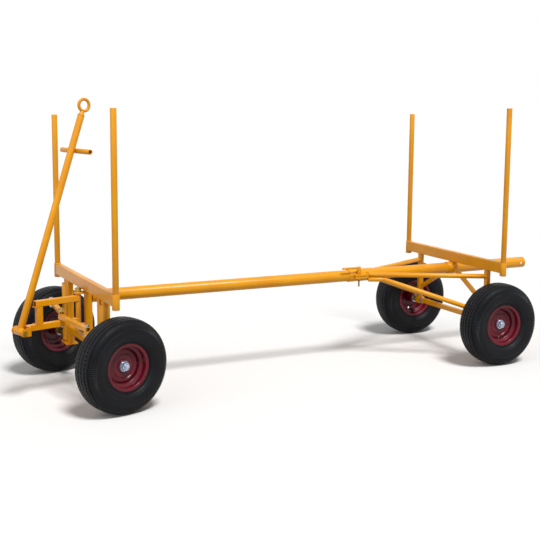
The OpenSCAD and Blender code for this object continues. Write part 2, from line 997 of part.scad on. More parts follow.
module knuckle_fasteners_far() {
    color(zinc) {
        in_front_wheel(1)
            axle_nut();
        arm_bolt(1, far_rod_low - slip, far_rod_h);
    }
}

// Tie rod from the steering pin to a steering arm's bolt
module tie_rod(side, low, rod_h) {
    color(paint)
        in_yoke()
            translate([arm_len, 0, low + rod_h / 2])
                rotate([0, 0, -steer_rest - 180])
                    rotate([0, 0, side * (90 - rod_turn)])
                        difference() {
                            translate([-rod_end, 0, 0])
                                rotate([90, 0, 90])
                                    linear_extrude(rod_run + 2 * rod_end)
                                        difference() {
                                            rounded(rod_w, rod_h, rod_wall);
                                            square([rod_w, rod_h] - [2, 2] * rod_wall, center = true);
                                        }
                            cylinder(h = 2 * rod_h, r = steering_pin_d / 2 + play, center = true);
                            translate([rod_run, 0, 0])
                                cylinder(h = 2 * rod_h, r = arm_bolt_d / 2 + slip, center = true);
                        }
}

module tie_rod_near() {
    tie_rod(-1, near_rod_low, near_rod_h);
}

module tie_rod_far() {
    tie_rod(1, far_rod_low, far_rod_h);
}

// Point on the crown of a section with the given half width and height, t from 0 to 180
function crown(t, half_w, height) = [
    widest_r + height * pow(sin(t), 2 / tyre_squareness),
    half_w * sign(cos(t)) * pow(abs(cos(t)), 2 / tyre_squareness)
];

// Point on the sidewall below the widest place, t from 0 at that place to 90 at the rim
function sidewall(t, half_w, foot_r, foot_w) = [
    widest_r - (widest_r - foot_r) * sin(t),
    foot_w + (half_w - foot_w) * cos(t)
];

// Half a bead, from its toe to where the sidewall leaves the flange
bead_low_r = seat_r + bead_gap;
bead_high_r = bead_low_r + bead_thick;
bead_heel = half_rim - rim_sheet - bead_gap;
bead_toe = bead_heel - bead_w;
lip_r = flange_r + flange_lip;
lip_out = half_rim + flange_lip;
bead = [
    [bead_high_r, bead_toe],
    [bead_low_r, bead_toe],
    [bead_low_r, bead_heel - seat_corner],
    [bead_low_r + seat_corner, bead_heel],
    [lip_r, bead_heel],
    [lip_r, lip_out]
];

// Outer and inner faces of the tyre on its outboard side, from the rim to the crown
wall_steps = [75, 60, 45, 30, 15];
tyre_half_w = tyre_w / 2;
crown_h = wheel_r - widest_r;
inner_half_w = tyre_half_w - tyre_wall;
inner_crown_h = crown_h - tyre_wall - groove_depth;

function flipped(points) = [for (i = [len(points) - 1 : -1 : 0]) [points[i][0], -points[i][1]]];

outer_wall = [for (t = wall_steps) sidewall(t, tyre_half_w, lip_r, lip_out)];
inner_wall = [for (t = wall_steps) sidewall(t, inner_half_w, bead_high_r, bead_toe)];
tyre_outline = concat(
    bead,
    outer_wall,
    [for (t = [0 : 9 : 180]) crown(t, tyre_half_w, crown_h)],
    flipped(outer_wall),
    flipped(bead),
    [for (i = [0 : len(inner_wall) - 1]) [inner_wall[i][0], -inner_wall[i][1]]],
    [for (t = [180 : -15 : 0]) crown(t, inner_half_w, inner_crown_h)],
    [for (i = [len(inner_wall) - 1 : -1 : 0]) inner_wall[i]]
);

// Tyre in the frame of its wheel, with grooves round the tread
module tyre() {
    color(tyre_black)
        rotate_extrude()
            difference() {
                polygon(tyre_outline);
                for (i = [0 : groove_count - 1])
                    translate([wheel_r - groove_depth, (i - (groove_count - 1) / 2) * groove_pitch])
                        translate([0, -groove_w / 2])
                            square([2 * groove_depth, groove_w]);
            }
}

// Rim's sheet from one flange to the other, its two faces listed from the flange inwards
flange_face = half_rim - rim_sheet;
corner_shift = rim_sheet * tan(45 / 2);
slope_shift = rim_sheet / 2;
rim_outer_half = [
    [flange_r, flange_face],
    [seat_r + seat_corner, flange_face],
    [seat_r, flange_face - seat_corner],
    [seat_r, flange_face - seat_w],
    [well_r, flange_face - seat_w - well_slope_w]
];
rim_inner_half = [
    [flange_r, half_rim],
    [seat_r + seat_corner - corner_shift, half_rim],
    [seat_r - rim_sheet, flange_face - seat_corner + corner_shift],
    [seat_r - rim_sheet, flange_face - seat_w + slope_shift],
    [well_r - rim_sheet, flange_face - seat_w - well_slope_w + slope_shift]
];
rim_outline = concat(
    rim_outer_half,
    flipped(rim_outer_half),
    [for (p = rim_inner_half) [p[0], -p[1]]],
    [for (i = [len(rim_inner_half) - 1 : -1 : 0]) rim_inner_half[i]]
);

disc_dish = 5;

// Wheel disc, dished inboard where it meets the rim's well
module wheel_disc() {
    dish_w = 14;
    disc_r = well_r - rim_sheet / 2;
    root_r = (hub_d / 2 + hub_inner_r) / 2;
    rotate_extrude()
        polygon([
            [disc_r, disc_offset - disc_dish],
            [disc_r, disc_offset - disc_dish + rim_sheet],
            [well_r - dish_w, disc_offset + rim_sheet],
            [root_r, disc_offset + rim_sheet],
            [root_r, disc_offset],
            [well_r - dish_w, disc_offset]
        ]);
}

// Rim, wheel disc and hub tube welded into one, in the frame of its wheel, with the disc's
// hole turned by an angle about the axle
module rim(hole_turn) {
    color(crimson)
        difference() {
            union() {
                rotate_extrude()
                    polygon(rim_outline);
                wheel_disc();
                translate([0, 0, -hub_in])
                    cylinder(h = hub_in + hub_out, r = hub_d / 2);
            }
            translate([0, 0, -hub_in - past])
                cylinder(h = hub_in + hub_out + 2 * past, r = hub_inner_r);
            translate([0, 0, -hub_in - past])
                cylinder(h = bearing_w + past, r = bearing_d / 2);
            translate([0, 0, hub_out - bearing_w])
                cylinder(h = bearing_w + past, r = bearing_d / 2);
            rotate([0, 0, hole_turn])
                translate([disc_hole_r, 0, disc_offset - disc_dish - past])
                    cylinder(h = disc_dish + rim_sheet + 2 * past, r = disc_hole_d / 2);
        }
}

// The two bearings of a wheel, in its frame
module bearings() {
    color(steel)
        for (z = [-hub_in, hub_out - bearing_w])
            translate([0, 0, z])
                ring(bearing_w, bearing_d / 2 - play, axle_r + play);
}

module tyre_front_near() {
    in_front_wheel(-1)
        tyre();
}

module tyre_front_far() {
    in_front_wheel(1)
        tyre();
}

module tyre_rear_near() {
    in_rear_wheel(-1)
        tyre();
}

module tyre_rear_far() {
    in_rear_wheel(1)
        tyre();
}

module rim_front_near() {
    in_front_wheel(-1)
        rim(180);
}

module rim_front_far() {
    in_front_wheel(1)
        rim(180);
}

module rim_rear_near() {
    in_rear_wheel(-1)
        rim(-90);
}

module rim_rear_far() {
    in_rear_wheel(1)
        rim(90);
}

module bearings_front_near() {
    in_front_wheel(-1)
        bearings();
}

module bearings_front_far() {
    in_front_wheel(1)
        bearings();
}

module bearings_rear_near() {
    in_rear_wheel(-1)
        bearings();
}

module bearings_rear_far() {
    in_rear_wheel(1)
        bearings();
}

module rear_bolster() {
    color(paint)
        bolster(rear_x, rear_half);
}

module rear_sockets() {
    color(paint)
        sockets(rear_x, rear_half);
}

// Rear posts, each on the block that its axle passes through
module rear_posts() {
    color(paint)
        for (side = SIDES)
            difference() {
                union() {
                    translate([rear_x, side * rear_post_y, block_top - weld])
                        upright_tube(rear_post_w, bolster_z - block_top);
                    translate([rear_x, side * rear_post_y, wheel_r])
                        rotate([90, 0, 0])
                            linear_extrude(2 * block_half, center = true)
                                rounded(block_w, block_w, corner_r);
                }
                translate([rear_x, side * rear_post_y, wheel_r])
                    rotate([90, 0, 0])
                        cylinder(h = 3 * block_half, r = axle_r + play, center = true);
            }
}

module axle_beam() {
    color(paint)
        translate([rear_x, 0, wheel_r])
            rotate([90, 0, 0])
                linear_extrude(2 * axle_beam_half, center = true)
                    tube_section(axle_beam_w, axle_beam_w);
}

// Rear stub axles, each with a square shank inside the axle beam
module rear_axles() {
    shank_w = axle_beam_w - 2 * beam_wall - 2 * weld;
    block_out = rear_post_y + block_half;
    color(gold_zinc)
        for (side = SIDES)
            on_rear_axle(side) {
                translate([0, 0, axle_beam_half - shank_len])
                    linear_extrude(shank_len + weld)
                        square(shank_w, center = true);
                translate([0, 0, axle_beam_half + weld])
                    cylinder(h = rear_track / 2 + axle_end - axle_beam_half - weld, r = axle_r);
                translate([0, 0, block_out + weld])
                    cylinder(h = rear_track / 2 - hub_in - slip - block_out - weld, r = shoulder_r);
            }
}

// Diagonals from the posts up to the hub sleeve
module rear_diagonals() {
    color(paint)
        for (side = SIDES)
            difference() {
                from_to([rear_x, side * rear_post_y, diagonal_low], [rear_x, 0, diagonal_high])
                    linear_extrude(norm([rear_post_y, diagonal_high - diagonal_low]))
                        difference() {
                            rounded(diagonal_w, diagonal_w, beam_wall);
                            square(diagonal_w - 2 * beam_wall, center = true);
                        }
                translate([rear_x, 0, pole_z])
                    rotate([0, 90, 0])
                        cylinder(h = 2 * diagonal_w, r = sleeve_r + weld, center = true);
                translate([rear_x, side * rear_post_y, block_top])
                    translate([-post_w, -rear_post_w / 2 - weld, -past])
                        cube([2 * post_w, rear_post_w + 2 * weld, bolster_z - block_top]);
                translate([rear_x - post_w, side * (rear_post_y + post_w) - post_w, block_top])
                    cube([2 * post_w, 2 * post_w, bolster_z - block_top]);
            }
}

// Sleeve that carries the rear bolster on the pole
module hub_sleeve() {
    color(paint)
        difference() {
            union() {
                translate([rear_x - hub_sleeve_front, 0, pole_z])
                    rotate([0, 90, 0])
                        cylinder(h = hub_sleeve_front + hub_sleeve_rear, r = sleeve_r);
                translate([rear_x - bolster_w / 2, -neck_w / 2, pole_z])
                    cube([bolster_w, neck_w, bolster_z - pole_z - weld]);
            }
            translate([rear_x - hub_sleeve_front - past, 0, pole_z])
                rotate([0, 90, 0])
                    cylinder(h = hub_sleeve_front + hub_sleeve_rear + 2 * past, r = pole_r + slip);
        }
}

// Split sleeve that the clamp bolt pinches on the pole, with its two ears
module clamp_sleeve() {
    color(paint)
        difference() {
            union() {
                translate([clamp_x, 0, pole_z])
                    rotate([0, 90, 0])
                        cylinder(h = clamp_len, r = sleeve_r);
                translate([
                    clamp_bolt_x - clamp_ear_front,
                    clamp_bolt_y - clamp_ear_out,
                    pole_z - clamp_slot / 2 - clamp_ear_t
                ])
                    cube([
                        clamp_ear_front + ear_behind,
                        -clamp_bolt_y + clamp_ear_out,
                        clamp_slot + 2 * clamp_ear_t
                    ]);
            }
            translate([clamp_x - past, 0, pole_z])
                rotate([0, 90, 0])
                    cylinder(h = clamp_len + 2 * past, r = pole_r + slip);
            translate([clamp_x - past, clamp_bolt_y - clamp_ear_out - past, pole_z - clamp_slot / 2])
                cube([clamp_len + 2 * past, -clamp_bolt_y + clamp_ear_out + past, clamp_slot]);
            translate([clamp_bolt_x, clamp_bolt_y, pole_z])
                cylinder(h = 4 * clamp_ear_t, r = clamp_bolt_d / 2 + play, center = true);
        }
}

// Point that lies d from a on the way to b
function toward(a, b, d) = a + (b - a) * d / norm(b - a);

// What the struts are cut back by: the clamp sleeve and the rear posts
module strut_cuts(side) {
    translate([clamp_x, 0, pole_z])
        rotate([0, 90, 0])
            cylinder(h = clamp_front, r = sleeve_r + weld);
    translate([strut_face_x - weld, side * rear_post_y - post_w, wheel_r])
        cube([2 * post_w, 2 * post_w, bolster_z - wheel_r]);
}

// Sideways run of a strut for each millimetre towards the rear
strut_slope = (rear_post_y - strut_start_y) / post_reach;

// Point on a strut's line, dx behind the front end of the upper strut
function strut_point(side, dx, z) = [
    upper_strut_x + dx,
    side * (strut_start_y + dx * strut_slope),
    z
];

upper_strut_z = pole_z + upper_strut_rise;
lower_strut_z = pole_z - lower_strut_drop;

module upper_struts() {
    color(paint)
        for (side = SIDES) {
            head = strut_point(side, -strut_lead, upper_strut_z);
            foot = strut_point(side, post_reach + strut_r, upper_strut_z - upper_strut_rise);
            difference() {
                bar(head, foot, strut_r);
                bar(toward(head, foot, -past), toward(foot, head, -past), strut_r - strut_wall);
                strut_cuts(side);
            }
        }
}

// Everything past the plane through a point with the given normal
module beyond(point, normal) {
    from_to(point, point + normal)
        translate([-strut_d, -strut_d, 0])
            cube(2 * strut_d);
}

// Straight run of a strut, mitred at its bend on the side that the normal points to
module strut_run(end, bend, normal) {
    difference() {
        bar(end, toward(bend, end, -strut_r), strut_r);
        bar(toward(end, bend, -past), toward(bend, end, -strut_r - past), strut_r - strut_wall);
        beyond(toward(bend, bend + normal, -weld / 2), normal);
    }
}

// Lower struts: each is a level run and a sloping run, welded at the bend
module lower_struts() {
    color(paint)
        for (side = SIDES) {
            head = strut_point(side, -strut_lead, lower_strut_z);
            bend = strut_point(side, lower_strut_level, lower_strut_z);
            foot = strut_point(side, post_reach, lower_strut_foot);
            mitre = toward([0, 0, 0], bend - head, 1) + toward([0, 0, 0], foot - bend, 1);
            difference() {
                union() {
                    strut_run(head, bend, mitre);
                    strut_run(toward(foot, bend, -strut_lead), bend, -mitre);
                }
                strut_cuts(side);
            }
        }
}

// Clamp bolt with its nut, collars on the rear axles, and the rear axle nuts
module rear_fasteners() {
    ear_low = pole_z - clamp_slot / 2 - clamp_ear_t;
    collar_r_out = axle_beam_w / 2 + axle_collar_lip;
    color(zinc) {
        translate([clamp_bolt_x, clamp_bolt_y, pole_z - bolt_tail])
            cylinder(h = bolt_tail + lever_rise - lever_d, r = clamp_bolt_d / 2);
        translate([clamp_bolt_x, clamp_bolt_y, ear_low - clamp_nut_h])
            nut(clamp_nut_af, clamp_nut_h, clamp_bolt_d / 2);
        for (side = SIDES) {
            on_rear_axle(side)
                translate([0, 0, axle_beam_half + 2 * weld])
                    ring(axle_collar_t, collar_r_out, axle_r + play);
            in_rear_wheel(side)
                axle_nut();
        }
    }
}

// Clamp lever: a hub on the clamp bolt and an arm that lies forward over the pole's edge
module clamp_lever() {
    hub_low = clamp_slot / 2 + clamp_ear_t + slip;
    color(paint)
        translate([clamp_bolt_x, clamp_bolt_y, pole_z])
            difference() {
                union() {
                    translate([0, 0, hub_low])
                        cylinder(h = lever_rise + lever_d / 2 - hub_low, r = lever_hub_r);
                    translate([0, 0, lever_rise])
                        rotate([0, -90, 0])
                            cylinder(h = lever_len, r = lever_d / 2);
                }
                translate([0, 0, hub_low - past])
                    cylinder(h = lever_rise - lever_d + slip - hub_low + past, r = clamp_bolt_d / 2 + play);
            }
}

module stake_front_near() {
    stake(front_x, -front_half, near_stake_top);
}

module stake_front_far() {
    stake(front_x, front_half, far_stake_top);
}

module stake_rear_near() {
    stake(rear_x, -rear_half, near_stake_top);
}

module stake_rear_far() {
    stake(rear_x, rear_half, far_stake_top);
}

front_bolster();
front_sockets();
inner_posts();
centre_post();
lower_crossbeam();
kingpins();
kingpin_plates();
drawbar_lugs();
front_fasteners();
main_pole();
yoke_pivot_tube();
yoke_top_rail();
yoke_bottom_rail();
yoke_upright();
yoke_clevis();
steering_pin();
hinge_bolt();
handle_barrel();
handle_tube();
cross_handle();
tow_eye();
knuckle_near();
knuckle_far();
front_axle_near();
front_axle_far();
kingpin_bushes_near();
kingpin_bushes_far();
knuckle_fasteners_near();
knuckle_fasteners_far();
tie_rod_near();
tie_rod_far();
tyre_front_near();
tyre_front_far();
tyre_rear_near();
tyre_rear_far();
rim_front_near();
rim_front_far();
rim_rear_near();
rim_rear_far();
bearings_front_near();
bearings_front_far();
bearings_rear_near();
bearings_rear_far();
rear_bolster();
rear_sockets();
rear_posts();
axle_beam();
rear_axles();
rear_diagonals();
hub_sleeve();
clamp_sleeve();
upper_struts();
lower_struts();
rear_fasteners();
clamp_lever();
stake_front_near();
stake_front_far();
stake_rear_near();
stake_rear_far();
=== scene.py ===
import json
from math import ceil, cos, pi, radians, sin, sqrt

import bmesh
import bpy
from mathutils import Matrix, Vector


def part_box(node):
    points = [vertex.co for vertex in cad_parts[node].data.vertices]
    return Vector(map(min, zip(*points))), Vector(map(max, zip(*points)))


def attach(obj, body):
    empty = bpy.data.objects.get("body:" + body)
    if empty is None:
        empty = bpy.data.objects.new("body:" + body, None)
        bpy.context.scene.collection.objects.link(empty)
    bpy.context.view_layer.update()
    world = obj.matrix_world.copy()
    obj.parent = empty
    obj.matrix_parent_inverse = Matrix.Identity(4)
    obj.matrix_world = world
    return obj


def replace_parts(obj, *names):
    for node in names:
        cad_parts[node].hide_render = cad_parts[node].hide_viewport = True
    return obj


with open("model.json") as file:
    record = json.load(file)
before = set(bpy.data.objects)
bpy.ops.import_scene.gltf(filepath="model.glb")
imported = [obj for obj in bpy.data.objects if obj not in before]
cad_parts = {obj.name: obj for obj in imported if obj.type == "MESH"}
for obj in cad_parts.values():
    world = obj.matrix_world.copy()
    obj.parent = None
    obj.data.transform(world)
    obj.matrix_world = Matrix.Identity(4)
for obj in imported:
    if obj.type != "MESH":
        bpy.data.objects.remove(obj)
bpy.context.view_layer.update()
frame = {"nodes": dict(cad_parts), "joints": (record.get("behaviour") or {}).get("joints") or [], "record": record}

MM = 0.001
NODES = frame["nodes"]
JOINTS = {joint["name"]: joint for joint in frame["joints"]}
NEAR, FAR = -1, 1
SIDES = {NEAR: "near", FAR: "far"}
X, Y, Z = Vector((1, 0, 0)), Vector((0, 1, 0)), Vector((0, 0, 1))


def low(name):
    """Lowest corner of a CAD node's box."""
    return Vector(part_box(name)[0])


def high(name):
    return Vector(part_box(name)[1])


def middle(name):
    return (low(name) + high(name)) / 2


def joint_at(name):
    return Vector(JOINTS[name]["pos_m"])


def joint_axis(name):
    return Vector(JOINTS[name]["axis"]).normalized()


# Colours. The screen's curve is a straight line up to a knee, and a power above it
CURVE_SLOPE, CURVE_KNEE, CURVE_LIFT, CURVE_POWER = 12.92, 0.04045, 0.055, 2.4
FULL = 255


def linear(red, green, blue):
    """Linear colour from the 0 to 255 values seen on a screen."""
    def channel(value):
        value = value / FULL
        if value <= CURVE_KNEE:
            return value / CURVE_SLOPE
        return ((value + CURVE_LIFT) / (1 + CURVE_LIFT)) ** CURVE_POWER
    return (channel(red), channel(green), channel(blue), 1)


YELLOW = linear(231, 157, 2)
YELLOW_DEEP = linear(218, 142, 0)
YELLOW_PALE = linear(240, 178, 34)
CRIMSON = linear(106, 11, 33)
CRIMSON_DEEP = linear(80, 8, 22)
CRIMSON_PALE = linear(126, 34, 48)
RUBBER = linear(8, 9, 12)
RUBBER_DUST = linear(19, 21, 26)
RUBBER_SOFT = linear(28, 28, 31)
ZINC = linear(190, 202, 222)
ZINC_DULL = linear(136, 148, 170)
GOLD = linear(186, 158, 84)
GOLD_DULL = linear(140, 116, 62)
STEEL = linear(168, 170, 174)
STEEL_DULL = linear(120, 122, 128)
BRONZE = linear(168, 126, 72)
BRONZE_DULL = linear(126, 92, 52)


class Shader:
    """A material under construction, with short calls for its nodes."""

    def __init__(self, name):
        self.material = bpy.data.materials.new(name)
        self.material.use_nodes = True
        self.tree = self.material.node_tree
        self.surface = self.tree.nodes["Principled BSDF"]
        self.place = self.node("ShaderNodeTexCoord").outputs["Object"]

    def node(self, kind, **settings):
        made = self.tree.nodes.new(kind)
        for key, value in settings.items():
            setattr(made, key, value)
        return made

    def link(self, a, b):
        self.tree.links.new(a, b)

    def set(self, **values):
        for key, value in values.items():
            self.surface.inputs[key.replace("_", " ")].default_value = value

    def noise(self, scale, detail, roughness=0.5, stretch=None):
        made = self.node("ShaderNodeTexNoise")
        made.inputs["Scale"].default_value = scale
        made.inputs["Detail"].default_value = detail
        made.inputs["Roughness"].default_value = roughness
        source = self.place
        if stretch:
            mapping = self.node("ShaderNodeMapping")
            mapping.inputs["Scale"].default_value = stretch
            self.link(source, mapping.inputs["Vector"])
            source = mapping.outputs["Vector"]
        self.link(source, made.inputs["Vector"])
        return made.outputs["Fac"]

    def ranged(self, value, start, stop, to_start=0, to_stop=1):
        made = self.node("ShaderNodeMapRange")
        self.link(value, made.inputs["Value"])
        limits = {"From Min": start, "From Max": stop, "To Min": to_start, "To Max": to_stop}
        for key, number in limits.items():
            made.inputs[key].default_value = number
        return made.outputs["Result"]

    def mixed(self, factor, first, second):
        made = self.node("ShaderNodeMix", data_type="RGBA")
        self.link(factor, made.inputs["Factor"])
        for socket, colour in (("A", first), ("B", second)):
            target = [i for i in made.inputs if i.name == socket and i.type == "RGBA"][0]
            if isinstance(colour, tuple):
                target.default_value = colour
            else:
                self.link(colour, target)
        return [o for o in made.outputs if o.type == "RGBA"][0]

    def bump(self, height, strength, distance, normal=None):
        made = self.node("ShaderNodeBump")
        made.inputs["Strength"].default_value = strength
        made.inputs["Distance"].default_value = distance
        self.link(height, made.inputs["Height"])
        if normal:
            self.link(normal, made.inputs["Normal"])
        return made.outputs["Normal"]

    def paint(self, colour):
        self.link(colour, self.surface.inputs["Base Color"])

    def rough(self, value, least, most):
        """Roughness between two limits, from a noise that stays mostly near its middle."""
        spread = self.ranged(value, start=0.3, stop=0.7, to_start=least, to_stop=most)
        self.link(spread, self.surface.inputs["Roughness"])

    def normal(self, value):
        self.link(value, self.surface.inputs["Normal"])


def gloss_paint(name, colour, deep, pale, roughness, coat):
    """Sprayed paint: slow colour drift, thin spots, orange peel and duller patches."""
    made = Shader(name)
    drift = made.noise(scale=3.5, detail=4)
    tone = made.mixed(made.ranged(drift, start=0.35, stop=0.65), colour, deep)
    thin = made.noise(scale=24, detail=6, roughness=0.65)
    made.paint(made.mixed(made.ranged(thin, start=0.56, stop=0.8, to_stop=0.5), tone, pale))
    made.rough(made.noise(scale=40, detail=5), least=roughness - 0.05, most=roughness + 0.1)
    peel = made.bump(made.noise(scale=420, detail=2), strength=0.12, distance=0.6 * MM)
    waves = made.noise(scale=16, detail=2)
    made.normal(made.bump(waves, strength=0.08, distance=2 * MM, normal=peel))
    made.set(Coat_Weight=coat, Coat_Roughness=0.16, Specular_IOR_Level=0.22)
    return made.material


def rubber(name, colour, dust_colour):
    """Moulded tyre rubber with a faint bloom, dust in patches and a fine grain."""
    made = Shader(name)
    bloom = made.noise(scale=9, detail=6, roughness=0.6)
    made.paint(made.mixed(made.ranged(bloom, start=0.42, stop=0.75), colour, dust_colour))
    made.rough(made.noise(scale=60, detail=4), least=0.4, most=0.56)
    grain = made.bump(made.noise(scale=900, detail=2), strength=0.2, distance=0.4 * MM)
    patches = made.noise(scale=50, detail=4)
    made.normal(made.bump(patches, strength=0.1, distance=1 * MM, normal=grain))
    made.set(Specular_IOR_Level=0.17)
    return made.material


def metal(name, colour, dull, roughness):
    """Plated or turned metal with cloudy colour and fine scratches."""
    made = Shader(name)
    cloud = made.noise(scale=70, detail=5, roughness=0.6)
    made.paint(made.mixed(made.ranged(cloud, start=0.35, stop=0.7), colour, dull))
    made.rough(made.noise(scale=160, detail=4), least=roughness - 0.06, most=roughness + 0.12)
    scratches = made.noise(scale=700, detail=2, stretch=(1, 1, 0.15))
    made.normal(made.bump(scratches, strength=0.15, distance=0.2 * MM))
    made.set(Metallic=1.0)
    return made.material


PAINT = gloss_paint("golden_paint", YELLOW, YELLOW_DEEP, YELLOW_PALE, roughness=0.36, coat=0.22)
RIM_PAINT = gloss_paint(
    "crimson_paint", CRIMSON, CRIMSON_DEEP, CRIMSON_PALE, roughness=0.32, coat=0.2)
TYRE = rubber("tyre_rubber", RUBBER, RUBBER_DUST)
VALVE = rubber("valve_rubber", RUBBER_SOFT, RUBBER_DUST)
BRIGHT = metal("bright_zinc", ZINC, ZINC_DULL, roughness=0.3)
GOLDEN = metal("yellow_zinc", GOLD, GOLD_DULL, roughness=0.34)
TURNED = metal("turned_steel", STEEL, STEEL_DULL, roughness=0.28)
BUSH = metal("bush_bronze", BRONZE, BRONZE_DULL, roughness=0.36)
SLOT_LOOKS = {
    "frame_paint": PAINT,
    "rim_paint": RIM_PAINT,
    "tyre_rubber": TYRE,
    "bright_zinc": BRIGHT,
    "yellow_zinc": GOLDEN,
    "bearing_steel": TURNED,
    "bush_bronze": BUSH,
}
SLOTS = {}
BODIES = {}
for part in frame["record"]["subparts"]:
    SLOTS[part["node"]] = part["material_slot"]
    NODES[part["node"]].data.materials.clear()
    NODES[part["node"]].data.materials.append(SLOT_LOOKS[part["material_slot"]])
for body, names in frame["record"]["behaviour"]["bodies"].items():
    for name in names:
        BODIES[name] = body


# CAD nodes: soft edges
EDGE = 0.9 * MM
EDGE_STEPS = 2
SPLIT_REACH = 0.01 * MM
SHARP_DEGREES = 40


def soften(cad, width):
    """Joins a CAD node's split corners and rounds its edges, without changing its own mesh."""
    join = cad.modifiers.new("join", "WELD")
    join.merge_threshold = SPLIT_REACH
    edge = cad.modifiers.new("edge", "BEVEL")
    edge.width = width
    edge.segments = EDGE_STEPS
    edge.limit_method = "ANGLE"
    edge.angle_limit = radians(SHARP_DEGREES)
    edge.harden_normals = True


for name, cad in NODES.items():
    if not name.startswith(("tyre", "rim", "bearings", "kingpin_bushes")):
        soften(cad, EDGE)


# Meshes
UPRIGHT_FROM = 0.9
FLAT_CORNER = 0.01
FILLET_STEPS = 4


def axis_frame(origin, axis, start=None):
    """Matrix that turns +Z to the axis, with its zero at the origin and +X towards start."""
    z = Vector(axis).normalized()
    x = Vector(start) if start else (Z if abs(z.z) < UPRIGHT_FROM else X)
    x = (x - z * x.dot(z)).normalized()
    turned = Matrix((x, z.cross(x), z)).transposed().to_4x4()
    return Matrix.Translation(origin) @ turned


def skin(build, place, rings, steps, ends="open"):
    """Skin through rings round a frame's +Z, each a (radius, height) or a function of the angle.

    ends is "open", "capped" (both ends filled) or "loop" (the last ring meets the first)."""
    made = []
    for ring in rings:
        verts = []
        for i in range(steps):
            angle = 2 * pi * i / steps
            radius, height = ring(angle) if callable(ring) else ring
            point = Vector((radius * cos(angle), radius * sin(angle), height))
            verts.append(build.verts.new(place @ point))
        made.append(verts)
    pairs = list(zip(made, made[1:]))
    if ends == "loop":
        pairs.append((made[-1], made[0]))
    for first, second in pairs:
        for i in range(steps):
            j = (i + 1) % steps
            build.faces.new((first[i], first[j], second[j], second[i]))
    if ends == "capped":
        build.faces.new(list(reversed(made[0])))
        build.faces.new(made[-1])


def meshed(name, build, material, sharp=SHARP_DEGREES):
    """Mesh from a bmesh, shaded smooth up to an angle."""
    bmesh.ops.recalc_face_normals(build, faces=build.faces)
    mesh = bpy.data.meshes.new(name)
    build.to_mesh(mesh)
    build.free()
    mesh.materials.append(material)
    mesh.shade_smooth()
    mesh.set_sharp_from_angle(angle=radians(sharp))
    return mesh


def finished(name, build, material, body, sharp=SHARP_DEGREES):
    """Object from a bmesh, with its place in its mesh, riding on its body."""
    return placed(name, meshed(name, build, material, sharp), Matrix.Identity(4), body)


def settled(mesh, matrix):
    """Copy of a mesh with its place in it, for an object that sits at the origin."""
    made = mesh.copy()
    made.transform(matrix)
    return made


def placed(name, mesh, matrix, body):
    """Object that rides on its body."""
    made = bpy.data.objects.new(name, mesh)
    bpy.context.scene.collection.objects.link(made)
    made.matrix_world = matrix
    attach(made, body)
    return made


def filleted(corners, steps=FILLET_STEPS):
    """Line through (r, z, fillet radius) corners, with each corner rounded."""
    points = []
    for i, (r, z, fillet) in enumerate(corners):
        here = Vector((r, z))
        if i in (0, len(corners) - 1) or fillet == 0:
            points.append(here)
            continue
        back = (Vector(corners[i - 1][:2]) - here).normalized()
        on = (Vector(corners[i + 1][:2]) - here).normalized()
        half = back.angle(on) / 2
        reach = fillet / max(sin(half) / cos(half), FLAT_CORNER)
        for k in range(steps + 1):
            t = k / steps
            start, end = here + back * reach, here + on * reach
            points.append(start * (1 - t) ** 2 + here * 2 * t * (1 - t) + end * t ** 2)
    return points


def sheet(line, thickness):
    """Closed outline of a bent sheet whose middle follows a line."""
    left, right = [], []
    for i, point in enumerate(line):
        before = line[max(i - 1, 0)]
        after = line[min(i + 1, len(line) - 1)]
        run = (after - before).normalized()
        side = Vector((-run.y, run.x)) * thickness / 2
        left.append(point + side)
        right.append(point - side)
    return [(p.x, p.y) for p in left + list(reversed(right))]


# The way the drawbar and the front wheels head, and their near side
AXLE_LINE = joint_axis("wheel_front_near_spin")
FORWARD = Vector((-abs(AXLE_LINE.y), -abs(AXLE_LINE.x), 0))
NEARWARD = Vector((abs(AXLE_LINE.x), -abs(AXLE_LINE.y), 0))

# Wheels: frames with +Z outboard and zero at the wheel's middle
WHEEL_SIDES = {"front_near": NEAR, "front_far": FAR, "rear_near": NEAR, "rear_far": FAR}


def wheel_frame(name):
    side, joint = WHEEL_SIDES[name], f"wheel_{name}_spin"
    axis = joint_axis(joint)
    return axis_frame(joint_at(joint), axis if axis.y * side > 0 else -axis)


TYRE_R = 230 * MM
TYRE_HALF = 78 * MM
WIDEST_R = 168.5 * MM
SQUARE = 2.8
TYRE_SHARP = 24
BEAD_LINE = (
    # radius and z in mm, from the bead's seat out and over the rim's flange
    (102, 35), (102, 50), (106, 54.5), (116.2, 54.5), (116.2, 59), (117.6, 61.8), (120.5, 63),
    (123, 62.4),
)
WALL_START_R, WALL_START_Z = 124 * MM, 61.6 * MM
WALL_SHARES = (0.05, 0.14, 0.24, 0.34, 0.44, 0.54, 0.64, 0.74, 0.84, 0.93)
WALL_POWER = 0.9
CROWN_PLAIN, CROWN_KNURLED = range(0, 25, 4), range(26, 52, 2)
RAISED_LINES = (140 * MM, 183 * MM)
RAISED_BY, RAISED_TOP, RAISED_FOOT = 0.7 * MM, 0.9 * MM, 1.6 * MM
LINING = ((111, 34), (150, 58), (185, 62), (210, 46))
KNURLS = 144
KNURL_STEPS, KNURL_RAISED_STEPS = 4, 2
STEPS = KNURL_STEPS * KNURLS
KNURL_LOW, KNURL_HIGH = 187 * MM, 221.5 * MM
KNURL_DEEP = 2.7 * MM
KNURL_IN, KNURL_ASIDE = 0.8 * KNURL_DEEP, 0.6 * KNURL_DEEP
ZIGZAG_STEPS = 8
GROOVE_LIP, GROOVE_ROUND, GROOVE_FLOOR_SHARE = 0.8, 0.9, 0.55
